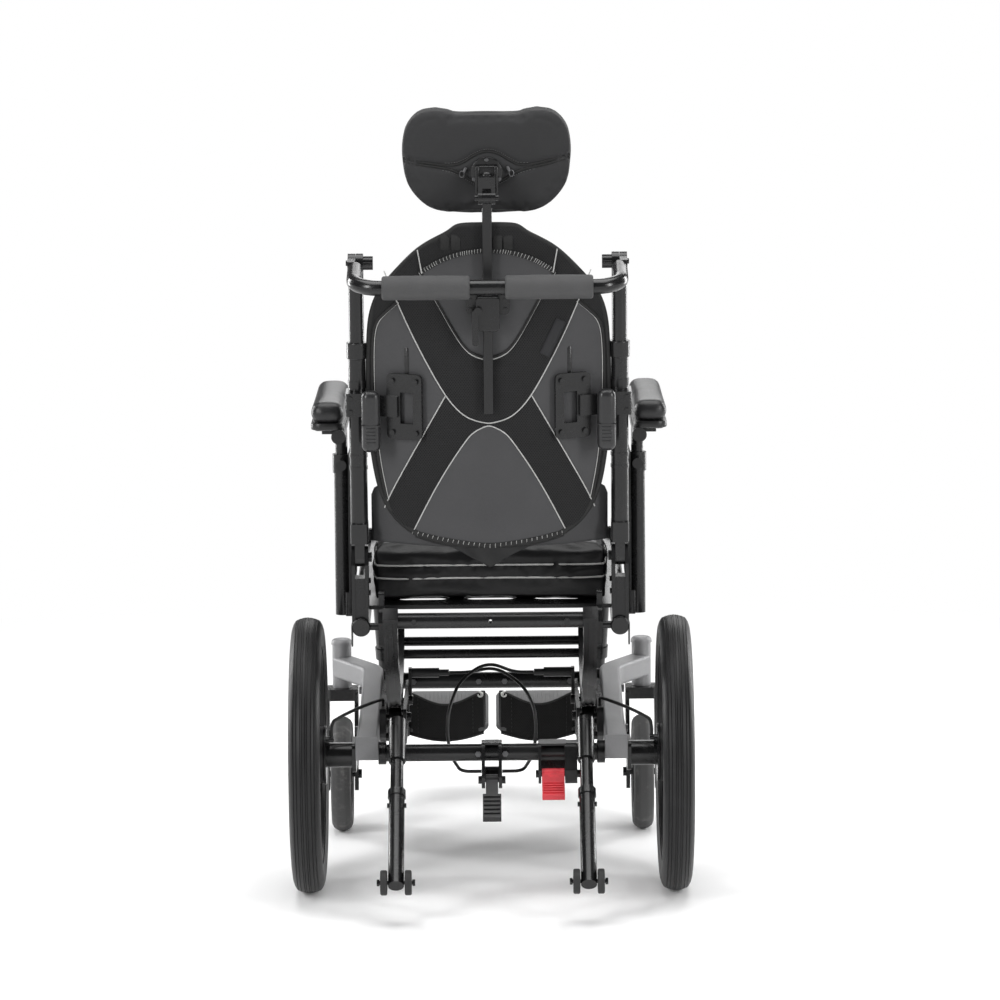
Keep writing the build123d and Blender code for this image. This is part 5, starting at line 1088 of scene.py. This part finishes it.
    def _piping(self) -> None:
        """Thin light cords along the seams, each with a black roll beside it."""
        cords, rolls = [], []
        for name in ("strap_low", "strap_top", "apron"):
            cords.append(self.cord_at((x, up, self.lift_at(x, up) + 0.5) for x, up in self._whole(name)))
        for side in (-1, 1):
            cords.append(self.cord_at((side * x, up, self.lift_at(x, up) + 0.5) for x, up in self.lines["cross"]))
            rim = self.lines["rim"]
            rolls.append(self.cord_at(((side * x, up, self.lift + 0.9) for x, up in rim), 0.0022, 10))
            cords.append(self.cord_at(((side * (x - 2.6), up, self.lift + 0.9) for x, up in rim), 0.0006, 6))
            shoulder = self.run(((side * x, up, self.strap_lift + 1.6) for x, up in self.shoulder), 2)
            cords.append(pipe(line_through(shoulder), PIPING_RADIUS, 8))
        self.sewn("shell_piping", cords, PIPING)
        rolls.append(self.cord_at(((x, up + 3.2, self.lift + 1.0) for x, up in self._whole("strap_top")), 0.0019))
        for name, width in (("arch", 0.0032), ("hem", 0.0034)):
            band = self.run((x, up, self.lift + 0.8) for x, up in self._whole(name))
            rolls.append(pipe(band, width, 10, squash=0.5, up=Vector((0, -1, 0))))
        self.sewn("shell_seam_rolls", rolls, BLACK_TAPE)

    def _stitches(self, apart: float = 3.0, reach: float = 2.9, slant: float = 0.8) -> None:
        """Overlocked stitches across the arch and the hem."""
        shapes = []
        for name in ("arch", "hem"):
            whole = self._whole(name)
            walked = 0.0
            for (x1, u1), (x2, u2) in zip(whole, whole[1:]):
                length = math.hypot(x2 - x1, u2 - u1)
                walked += length
                if walked < apart or length < 1e-6:
                    continue
                walked = 0.0
                over = Vector((u1 - u2, x2 - x1)) / length * reach
                ends = [self.spot(x1 - over.x, u1 - over.y, self.lift + 1.5), self.spot(x1, u1, self.lift + 2.7),
                        self.spot(x1 + over.x + slant, u1 + over.y, self.lift + 1.5)]
                shapes.append(pipe(line_through(ends, resolution=2), 0.00045, 5))
        self.sewn("shell_stitches", shapes, PIPING)

    def _binding(self, apart: float = 6.0) -> None:
        """A padded black binding round the whole shell."""
        right = self.edge[1:-1]
        flat = right + [(-x, up) for x, up in right[::-1]]
        thinned = [flat[0]]
        for point in flat[1:]:
            if math.dist(point, thinned[-1]) > apart:
                thinned.append(point)
        line = line_through([self.spot(x, up, -1.8) for x, up in thinned], closed=True, resolution=4)
        self.sewn("shell_binding", [pipe(evened(line, 6, closed=True), 0.0052, 12, closed=True)], BLACK_TAPE)

    def _slots(self) -> None:
        """The adjustment slots, as dark stadium shaped plates with a turned rim; the dark plates are painted shade
        standing for the openings.
        """
        x, up = self.slot
        # Each slot is a flat dark plate on the cover: painted shade in place of the opening.
        self.sewn("shell_slots", [at(slab(round_outline(0.0062, 0.044, 0.003), 0.0006, 0.0002),
                                     self.stand(side * x, up, self.lift + 0.5)) for side in (-1, 1)],
                  GLOSS_PLASTIC, 35)

    def _tag(self) -> None:
        """A blank woven tag sewn on the strap."""
        x, up = self.tag
        stand = self.stand(x, up, self.lift_at(x, up) + 0.5) @ turn_about("Z", self.tag_turn)
        tag = at(slab(round_outline(0.016, 0.056, 0.0012), 0.0012, 0.0004), stand)
        hem = pipe([stand @ Vector((a, b, 0.0013)) for a, b in round_outline(0.0136, 0.0536, 0.001)], 0.0004, 5,
                   closed=True)
        self.sewn("shell_tag", [tag, hem], BACK_FABRIC, 35)

    def _loops(self) -> None:
        """Flat webbing loops sewn on the top edge."""
        lines = [line_through([self.spot(x, up, lift) for up, lift in self.loop], resolution=4) for x in self.loops]
        self.sewn("shell_loops", [pipe(line, 0.0068, 10, squash=0.16, up=Vector((0, -1, 0.1))) for line in lines],
                  BLACK_TAPE, 60)

    def _flap(self, half: float = 108.0) -> None:
        """The loose tail of the cover below the hem, which runs down to a point over the seat."""

        def place(across: float, high: float) -> Vector:
            """Where a corner of the tail hangs."""
            x, share = half * across, (high + 1) / 2
            bow = (x / 111.0) ** 2
            tip = 27.0 * max(0.0, 1 - abs(x) / 62.0) ** 1.4
            top, low = 31.0 + 14.0 * bow, 22.0 + 16.0 * bow - tip
            fold = 1.6 * math.sin(x * 0.16 + share * 2.0) * (1 - share)
            return self.spot(x, low + (top - low) * share, 0.2 + fold * math.exp(-((x / 80) ** 2)))

        thicken(self.sewn("shell_flap", [face_out(sheet(60, 14, place), rearward=True)], CUSHION_VINYL), 0.0012, 0.0)


# ---- Upholstery ---------------------------------------------------------------------------------------------------
@dataclass
class SeatCushion:
    """The boxed seat cushion, with two light piping lines round its border."""

    pitch: float = 4.3
    width: float = 0.356
    length: float = 0.434
    corner: float = 0.045
    core: Flat = (0.09, 0.13)
    piping: Sequence[float] = (0.036, 0.055)

    def build(self) -> None:
        """Fills the cushion and sews its border."""
        mesh = Stuffing(0.006, 3.0, 0.006, 0.005).fill(copy_of("seat_cushion"))
        sew(mesh, [self.round_line(mesh, height) for height in self.piping], 0.0022, 0.005)
        crumple(mesh, 0.0024, (13.0, 13.0, 75.0))
        padded("cushion_cover", mesh, CUSHION_VINYL, "seat", "seat_cushion", 0.75, crease=70)
        cords = [pipe(evened(self.round_line(mesh, height, 0.0012), 2, closed=True), 0.0014, 8, closed=True)
                 for height in self.piping]
        piece("cushion_piping", join(cords), PIPING, "seat", slot="upholstery", crease=80)

    def round_line(self, mesh: Mesh, height: float, lift: float = 0.0) -> list[Vector]:
        """A level line round the cushion's border."""
        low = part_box("seat_cushion")[0]
        seat = move(0.0, low.y, low.z) @ turn_about("X", self.pitch)
        outline = round_outline(self.width - 0.004, self.length - 0.004, self.corner, 10)
        points = [seat @ Vector((x, y + self.length / 2, height)) for x, y in outline]
        middle = seat @ Vector((0.0, self.length / 2, height))
        wide, long = self.core

        def out(point: Vector) -> Vector:
            """Away from the cushion's core."""
            core = Vector((max(-wide, min(wide, point.x)),
                           middle.y + max(-long, min(long, point.y - middle.y)), point.z))
            return point - core

        return laid_on(mesh, filled_in(points + points[:1], 12), out, lift)


@dataclass
class BackPad:
    """The inner pad of the back, and the cloth below it that reaches down to the seat.

    Places are (X, height) in millimetres on its front skin, a cylinder about an upright axis before it.
    """

    front: float = 310.0
    axis: float = 349.6
    shell: float = 343.6
    seams: Sequence[float] = (-76.0, 76.0)
    rungs: Sequence[float] = (170.0, 300.0)

    def build(self) -> None:
        """Fills the pad, sews its channels and hangs the skirt."""
        mesh = Stuffing(0.005, 4.0, 0.010, 0.004).fill(copy_of("back_pad"))
        self.press(mesh)
        uprights = [[self.spot(x, 74 + 5 * step) for step in range(79)] for x in self.seams]
        across = [[self.spot(-74 + 4 * step, up) for step in range(38)] for up in self.rungs]
        sew(mesh, [laid_on(mesh, line, -REAR) for line in uprights + across], 0.0045, 0.008)
        crumple(mesh, 0.0014, (17.0, 17.0, 17.0))
        padded("back_pad_cover", mesh, BACK_FABRIC, "back", "back_pad", 0.7, crease=70)
        cords = [pipe(evened(laid_on(mesh, line, -REAR, 0.0004), 2), PIPING_RADIUS, 8) for line in uprights]
        piece("back_pad_piping", join(cords), PIPING, "back", slot="upholstery", crease=80)
        self.skirt()

    def press(self, mesh: Mesh) -> None:
        """Holds the pad's back against the shell."""
        back = SHELL.inverted()
        for vertex in mesh.vertices:
            place = back @ vertex.co / MM
            away = math.hypot(place.x, self.axis - place.y)
            if away > self.shell:
                share = self.shell / away
                pressed = Vector((place.x * share, self.axis - (self.axis - place.y) * share, place.z))
                vertex.co = SHELL @ (pressed * MM)

    def spot(self, x: float, up: float, ahead: float = 0.0) -> Vector:
        """A place on the pad's front skin."""
        far = self.front - ahead
        turn = math.asin(x / far)
        return SHELL @ (Vector((far * math.sin(turn), self.axis - far * math.cos(turn), up)) * MM)

    def skirt(self, half: float = 171.0, low: float = 21.0, high: float = 106.0, corner: float = 16.0) -> None:
        """Cloth across the foot of the back, wider than the shell."""

        def place(across: float, share: float) -> Vector:
            """Where a corner of the cloth hangs."""
            x = across * half
            past = max(0.0, abs(x) - (half - corner))
            top = high - (corner - math.sqrt(max(0.0, corner ** 2 - past ** 2)))
            up = low + (top - low) * (share + 1) / 2
            return self.spot(x, up, -18.0 + 1.2 * noise.noise(Vector((x * 0.03, up * 0.02, 4.0))))

        thicken(piece("back_skirt", face_out(sheet(84, 18, place)), SHELL_FABRIC, "back", slot="upholstery",
                      crease=60), 0.006, 0.0)


@dataclass
class ArmPads:
    """Skinned foam pads on a moulded base."""

    width: float = 0.050
    foot: float = 0.011
    overlap: float = 0.003
    corner: float = 0.0165

    def build(self) -> None:
        """Makes both pads."""
        for side in Side:
            word, body = side.word, f"armrest_{side.word}"
            low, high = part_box(f"arm_pad_{word}")
            centre = Vector(((low.x + high.x) / 2, (low.y + high.y) / 2, low.z))
            length, tall = high.y - low.y, high.z - low.z
            thick = tall - self.foot + self.overlap
            foam = block((self.width, length, thick), self.corner, move(centre + Vector((0, 0, tall - thick / 2))), 6)
            padded(f"arm_pad_top_{word}", Stuffing(0.004, 2.5, 0.003, 0.0005).fill(foam, 2), ARM_SKIN, body,
                   f"arm_pad_{word}", 0.9, slot="pad_skin", crease=60)
            outline = round_outline(self.width - 0.0014, length - 0.004, 0.016, 8)
            piece(f"arm_pad_base_{word}", at(slab(outline, self.foot - 0.0005, 0.0022), move(centre)), MOULDED, body,
                  slot="pad_skin")


@dataclass
class LatchLevers:
    """Smooth moulded levers that let the back recline, ribbed at the thumb end."""

    size: Sequence[float] = (0.0270, 0.0215, 0.0905)
    edge: float = 0.0100
    rib: Sequence[float] = (0.0150, 0.0022, 0.0024)
    band: Sequence[float] = (0.0276, 0.0222, 0.0012)
    ribs: int = 5
    lowest: float = -0.030
    pitch: float = 0.0052
    seam: float = -0.0045

    def build(self) -> None:
        """Makes both levers, each on its own hinge."""
        for side in Side:
            word = side.word
            node = f"latch_lever_{word}"
            ribs = [block(self.rib, 0.0007, move(0, -self.size[1] / 2 + 0.0002, self.lowest + self.pitch * step), 2)
                    for step in range(self.ribs)]
            lever = join([rounded(self.size, self.edge, 6), *ribs, block(self.band, 0.0004, move(0, 0, self.seam), 2)])
            piece(f"latch_cover_{word}", at(lever, move(middle_of(node)) @ turn_about("X", LEAN)), LEVER_PLASTIC,
                  f"latch_{word}", replaces=[node], slot="moulded_black")


@dataclass
class FoamGrips:
    """Two foam sleeves on the push bar."""

    axis: Sequence[float] = (0.0, AXLE_Y - 0.1796, 0.9098)
    inner: float = 0.025
    outer: float = 0.150
    radius: float = 0.017
    bore: float = 0.0112
    edge: float = 0.0035
    parts: int = 25

    def build(self) -> None:
        """Turns both sleeves."""
        sleeves = [twin(at(lathe(self.profile(side), 48), move(*self.axis)), side) for side in Side]
        grips = piece("grip_sleeves", join(sleeves), GRIP_FOAM, "push_bar", replaces=["foam_grips"], crease=50)

    def profile(self, side: Side) -> list[Flat]:
        """A sleeve's outline, with softened ends and a slightly uneven skin."""
        mouth = self.radius - self.edge
        turns = (0.4, 0.8, 1.2)
        profile = [(self.inner, self.bore), (self.inner, mouth)]
        profile += [(self.inner + self.edge * (1 - math.cos(turn)), mouth + self.edge * math.sin(turn))
                    for turn in turns]
        flat = self.outer - self.inner - 2 * self.edge
        for step in range(self.parts + 1):
            share = step / self.parts
            swell = 0.0005 * math.sin(share * math.pi) + 0.0002 * noise.noise(Vector((share * 9, side.value, 0)))
            profile.append((self.inner + self.edge + flat * share, self.radius + swell))
        profile += [(self.outer - self.edge * (1 - math.cos(turn)), mouth + self.edge * math.sin(turn))
                    for turn in turns[::-1]]
        return profile + [(self.outer, mouth), (self.outer, self.bore)]


@dataclass
class HeadrestCover:
    """The headrest's padded cover, open at the back along a zip that parts round the mounting disc.

    All places are (X, height) in millimetres from the disc's centre. A seam is its depth and width in metres.
    """

    disc: float = 23.0
    below_top: float = 0.0925
    socket_front: float = 0.0385
    mouth: Flat = (0.0030, 0.0045)
    seam: Flat = (0.0012, 0.0035)
    upper: Sequence[Flat] = ((-119, 19), (-80, 13), (-50, 9), (-33, 14), (-18, 25), (0, 31), (18, 27), (32, 17),
                             (50, 8), (80, 14), (119, 23))
    lower: Sequence[Flat] = ((-119, 15), (-80, 9), (-52, 5), (-34, -4), (-19, -14), (0, -19), (19, -14), (35, -4),
                             (52, 4), (80, 10), (119, 19))
    screws: Sequence[Flat] = ((0, 18.5), (-18, -9), (18, -9))
    pulls: Sequence[Sequence[float]] = ((-31, 4, 0.5), (31, 5, -0.4))

    def __post_init__(self) -> None:
        """Finds the pad's box and the disc's centre; the surface is filled later."""
        self.low, self.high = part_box("headrest_pad")
        self.centre = Vector((0.0, (self.low.y + self.high.y) / 2, self.high.z - self.below_top))
        self.mesh: Mesh | None = None

    def build(self) -> None:
        """Fills the pad and makes its zip, disc and socket."""
        back = SHELL.inverted()
        shape = copy_of("headrest_pad", lambda point: (back @ point).y > self.socket_front)
        bmesh.ops.holes_fill(shape, edges=[edge for edge in shape.edges if edge.is_boundary], sides=0)
        self.mesh = Stuffing(0.004, 3.0, 0.004, 0.001).fill(shape)
        self.level_top()
        lines = [self.on(line) for line in (self.upper, self.lower)]
        border = self.border()
        sew(self.mesh, lines, *self.mouth)
        sew(self.mesh, [border], *self.seam)
        crumple(self.mesh, 0.0007, (30.0, 30.0, 30.0))
        padded("headrest_cover", self.mesh, HEADREST_FABRIC, "headrest_pad", "headrest_pad", 0.8, crease=70)
        lips = [pipe(evened(self.on(line, 0.0006), 3), 0.0019, 8, squash=0.7, up=REAR)
                for line in (self.upper, self.lower)]
        self.trim("headrest_zip_lips", join(lips), BLACK_TAPE, 80)
        threads = [self.dashes([(x, up + shift) for x, up in line])
                   for line, shift in ((self.upper, 3.4), (self.lower, -3.4))]
        self.trim("headrest_stitches", join(threads), PIPING_DIM, 80)
        self.trim("headrest_liner", self.opening(), GLOSS_PLASTIC, 80)
        self.hardware()

    @staticmethod
    def trim(name: str, shape: Shape, finish: Finish, crease: float = 35.0) -> None:
        """A small part that rides with the pad."""
        piece(name, shape, finish, "headrest_pad", slot="upholstery", crease=crease)

    def level_top(self) -> None:
        """Fills most of the dip in the pad's upper edge and squares its lower corners."""
        for vertex in self.mesh.vertices:
            high = vertex.co.z - self.centre.z
            share = max(0.0, min(1.0, (high - 0.030) / 0.040))
            vertex.co.z += 0.0050 * share * math.exp(-((vertex.co.x / 0.06) ** 2))
            low = max(0.0, min(1.0, (-0.012 - high) / 0.050))
            vertex.co.z -= 0.0065 * low ** 2 * math.exp(-(((abs(vertex.co.x) - 0.082) / 0.030) ** 2))
            vertex.co.x *= 1.0 + 0.035 * low

    def world(self, x: float, up: float) -> Vector:
        """A place on the plane through the disc's centre."""
        return self.centre + Vector((x * MM, 0.0, 0.0)) + UP * up * MM

    def on(self, line: Sequence[Flat], lift: float = 0.0) -> list[Vector]:
        """A smooth line on the pad's back."""
        return laid_on(self.mesh, line_through([self.world(x, up) for x, up in line]), REAR, lift)

    def border(self) -> list[Vector]:
        """The sewn line inside the pad's outline, dipped at the top's middle."""
        size, middle = (self.high - self.low) / MM, ((self.high.z + self.low.z) / 2 - self.centre.z) / MM
        outline = round_outline(size.x - 26, size.z - 30, 38, 8)
        points = [self.world(x, up + middle - (5.0 * math.exp(-((x / 45) ** 2)) if up > 0 else 0.0))
                  for x, up in outline]
        return laid_on(self.mesh, filled_in(points + points[:1], 8), REAR)

    def dashes(self, line: Sequence[Flat], longest: float = 0.0026) -> Shape:
        """A row of short stitches beside the zip."""
        laid = self.on(line, 0.0003)
        stitches, start, walked = [], 0, 0.0
        for place in range(1, len(laid)):
            walked += (laid[place] - laid[place - 1]).length
            if walked > longest:
                stitches.append(pipe([laid[start], laid[place]], 0.0003, 5))
                start, walked = min(place + 1, len(laid) - 1), 0.0
        return join(stitches)

    def opening(self) -> Shape:
        """The dark liner that shows between the two lips."""
        lips = [self.on(line, 0.0004) for line in (self.upper, self.lower)]
        last = min(len(lip) for lip in lips) - 1
        shape = bmesh.new()
        top, foot = ([shape.verts.new(lip[round(step * (len(lip) - 1) / last)]) for step in range(last + 1)]
                     for lip in lips)
        for step in range(last):
            shape.faces.new((top[step], top[step + 1], foot[step + 1], foot[step]))
        return face_out(shape, rearward=True)

    def hardware(self) -> None:
        """The mounting disc with its screws, the square socket and two zip pullers."""
        skin = self.on(((-0.5, 0), (0, 0), (0.5, 0)))[0]
        face = axes(Vector((-1, 0, 0)), UP, REAR)

        def stood(x: float, high: float, out: float) -> Matrix:
            """A frame on the pad's back whose Z points backwards."""
            return move(Vector((x * MM, skin.y, skin.z)) + UP * high * MM + REAR * out * MM) @ face

        disc = at(drum(self.disc * MM, 0.006, 0.0012, 48), stood(0, 0, 2.0))
        socket = block((0.033, 0.036, 0.016), 0.002, stood(0, -6, 11.0))
        cheeks = [block((0.006, 0.040, 0.022), 0.0015, stood(x, -8, 13.0)) for x in (-13.5, 13.5)]
        self.trim("headrest_mount", join([disc, socket, *cheeks]), GLOSS_PLASTIC)
        pulls = []
        for x, high, turn in self.pulls:
            slider = block((0.0045, 0.008, 0.003), 0.0010, stood(x, high, 3.0) @ turn_about("Z", math.degrees(turn)))
            stand = stood(x * 1.14, high - 6, 3.2)
            ring = [stand @ Vector((0.0034 * math.cos(a), 0.0046 * math.sin(a), 0.0))
                    for a in (math.tau * step / 16 for step in range(16))]
            pulls += [slider, pipe(ring, 0.0007, 6, closed=True)]
        screws = [at(cap_screw(0.0030, 0.0016), stood(x, high, 5.0)) for x, high in self.screws]
        self.trim("headrest_screws", join(screws), DARK_STEEL)
        self.trim("headrest_pulls", join(pulls), DARK_STEEL)


@dataclass
class Footplate:
    """A ribbed footplate with a heel band of mesh, in the plate's own axes; X is in millimetres from the hinge."""

    side: Side
    hinge: Sequence[float] = (150.5, 623.5, 115.0)
    pitch: float = 15.0
    middle: float = -75.5
    ribs: int = 17

    def build(self) -> None:
        """Makes the plate, its ribs, the band and the bolts."""
        plate = at(slab(self.outline(0.138, 0.140, 0.020, 0.070), 0.009, 0.0022), move(0, 0, 0.001))
        rim = at(slab(self.outline(0.126, 0.124, 0.016, 0.066), 0.008, 0.002), move(0, 0, -0.006))
        ribs = [block((0.0018, 0.112, 0.0022), 0.0006, move((self.middle - 52 + 6.5 * step) * MM, 0.070, 0.0105), 2)
                for step in range(self.ribs)]
        lug = block((0.020, 0.018, 0.016), 0.003, move(-0.008, 0.004, 0.004))
        self.part("footplate_body", [plate, rim, *ribs, lug], FOOT_PLASTIC, "wheel_plastic",
                  replaces=[f"footplate_{self.side.word}"])
        self.part("heel_band", [self.band()], HEEL_MESH, "upholstery", crease=60)
        hem = [self.hem(0.0), self.hem(1.0), self.upright(0.14), self.upright(0.86)]
        self.part("heel_band_hem", hem, BLACK_TAPE, "upholstery", crease=80)
        posts = [block((0.009, 0.006, 0.066), 0.002, move((self.middle + shift) * MM, 0.008, 0.038))
                 for shift in (-60, 60)]
        self.part("footplate_posts", posts, GLOSS_PLASTIC, "wheel_plastic")
        bolts = [at(cap_screw(0.0052, 0.0042), move((self.middle + shift) * MM, 0.004, 0.068) @ turn_about("X", 90))
                 for shift in (-56, 56)]
        self.part("footplate_bolts", bolts, ZINC, "wheel_plastic")

    def part(self, name: str, shapes: Iterable[Shape], finish: Finish, slot: str, **others: object) -> None:
        """A part from its shapes, moved from the plate's axes to the chair."""
        x, y, z = self.hinge
        place = move(x * MM, AXLE_Y + y * MM, z * MM) @ turn_about("X", self.pitch)
        piece(f"{name}_{self.side.word}", twin(at(join(shapes), place), self.side), finish,
              f"footplate_{self.side.word}", slot=slot, **others)

    def outline(self, width: float, length: float, corner: float, ahead: float) -> list[Flat]:
        """A rounded rectangle in the plate's plane, its middle ahead of the hinge."""
        return [(self.middle * MM + x, ahead + y) for x, y in round_outline(width, length, corner, 8)]

    def on_band(self, across: float, share: float) -> Vector:
        """A place on the heel band: across from 0 to 1, share from its lower hem at 0 to its upper one at 1."""
        bow = math.sin(math.pi * across)
        x = self.middle + 61 - 122 * across
        low, high = -2 - 5 * bow, 72 - 15 * bow ** 1.5
        return Vector((x, 4 - 17 * bow, low + (high - low) * share)) * MM

    def band(self) -> Shape:
        """The woven band, bowed behind the heel."""
        shape = face_out(sheet(48, 16, lambda across, up: self.on_band((across + 1) / 2, (up + 1) / 2)))
        bmesh.ops.solidify(shape, geom=shape.faces[:], thickness=0.0022)
        return face_out(shape)

    def hem(self, share: float) -> Shape:
        """A rolled hem along the band."""
        return pipe([self.on_band(step / 40, share) for step in range(41)], 0.00168, 8)

    def upright(self, across: float) -> Shape:
        """A line of stitches up the band."""
        line = [self.on_band(across, step / 20) + Vector((0, -0.0014, 0)) for step in range(21)]
        return join(pipe(line[step:step + 2], 0.0005, 5) for step in range(0, 20, 2))


# ---- Assemblies ---------------------------------------------------------------------------------------------------
def both(*names: str) -> list[str]:
    """Names of nodes that come as a left and a right one."""
    return [f"{name}_{side.word}" for name in names for side in Side]


@dataclass
class Structure:
    """The nodes that keep the shapes of the CAD, and their finishes."""

    finishes: Sequence[tuple[Finish, Sequence[str]]] = (
        (BLACK_COAT, ("base_cross_tubes", "roller_brackets", "axle_carriers", "pedal_bracket", "wheel_lock_housing",
                      "anti_tip_arms", "seat_rails", "seat_cross_tubes", "seat_pan", "back_brackets",
                      *both("anti_tip_sleeve", "caster_fork", "rocker", "armrest", "hanger"))),
        (MOULDED, ("tilt_lock_housings", "tilt_pedal", "rollers_rear", "rollers_front",
                   *both("rear_wheel", "footrest"))),
        (GREY_COAT, both("base_beam")),
        (DARK_STEEL, ("base_fasteners",)),
        (JACKET, ("control_cables",)),
        (RED_PLASTIC, ("wheel_lock_pedal",)),
        (SMALL_TYRE, both("anti_tip_wheels")),
        (SATIN_TUBE, ("back_canes", "handle_posts", "push_bar", "headrest_bar")),
        (GUARD_PLASTIC, ("back_shell", "side_guards")),
        (GLOSS_PLASTIC, ("shell_plates", "cane_clamps", "headrest_bracket", "headrest_link", "arm_sockets")),
    )

    def build(self) -> None:
        """Dresses the nodes."""
        for finish, names in self.finishes:
            dress(names, finish)


@dataclass
class Tyres:
    """Rear wheels' grooved solid tyres, and the casters' hubs and tyres."""

    radius: float = 0.203
    half: float = 0.023
    bead: float = 0.165
    grooves: Sequence[float] = (0.0022, 0.0048, 0.0105, 0.0150)

    def build(self) -> None:
        """Makes the rear tyres and dresses the casters."""
        for side in Side:
            node, caster = f"rear_tyre_{side.word}", f"caster_wheel_{side.word}"
            piece(f"tyre_{side.word}", at(lathe(self.profile(), 128), move(middle_of(node))), TYRE,
                  f"rear_wheel_{side.word}", replaces=[node], crease=25)
            hub = TwoPartWheel(f"caster_{side.word}", (0.022, 0.022, 0.022), 0.42, axle=tuple(middle_of(caster)))
            dress((caster,), hub)

    def profile(self) -> list[Flat]:
        """The tyre's outline: flat in the rim, round over the sides, grooved on the tread."""
        tread: list[Flat] = []
        for groove in self.grooves:
            crown = self.radius - 0.35 * groove ** 2 / self.half - 0.0002
            tread += [(groove - 0.0006, crown), (groove - 0.0003, crown - 0.0011), (groove + 0.0003, crown - 0.0011),
                      (groove + 0.0006, crown)]
        wall = [(along, self.radius - down) for along, down in (
            (0.0178, 0.0055), (0.0206, 0.0102), (0.0224, 0.0158), (self.half, 0.0205), (0.0226, 0.0262),
            (0.0212, 0.0312))]
        foot = [(0.0196, self.bead - 0.0030), (0.0148, self.bead - 0.0034), (0.0146, self.bead)]
        right = [(0.0, self.radius), *tread, *wall, *foot]
        return right + [(-along, radius) for along, radius in right[:0:-1]]


def main() -> None:
    """Builds the studio and each assembly in order."""
    logging.basicConfig(level=logging.INFO, format="%(name)s: %(message)s")
    for assembly in (Studio(), Structure(), Tyres(), ShellCover(), SeatCushion(), BackPad(), HeadrestCover(),
                     ArmPads(), LatchLevers(), FoamGrips(), Footplate(Side.LEFT), Footplate(Side.RIGHT)):
        assembly.build()
        log.info("%s built", type(assembly).__name__)


if __name__ == "__main__":
    main()
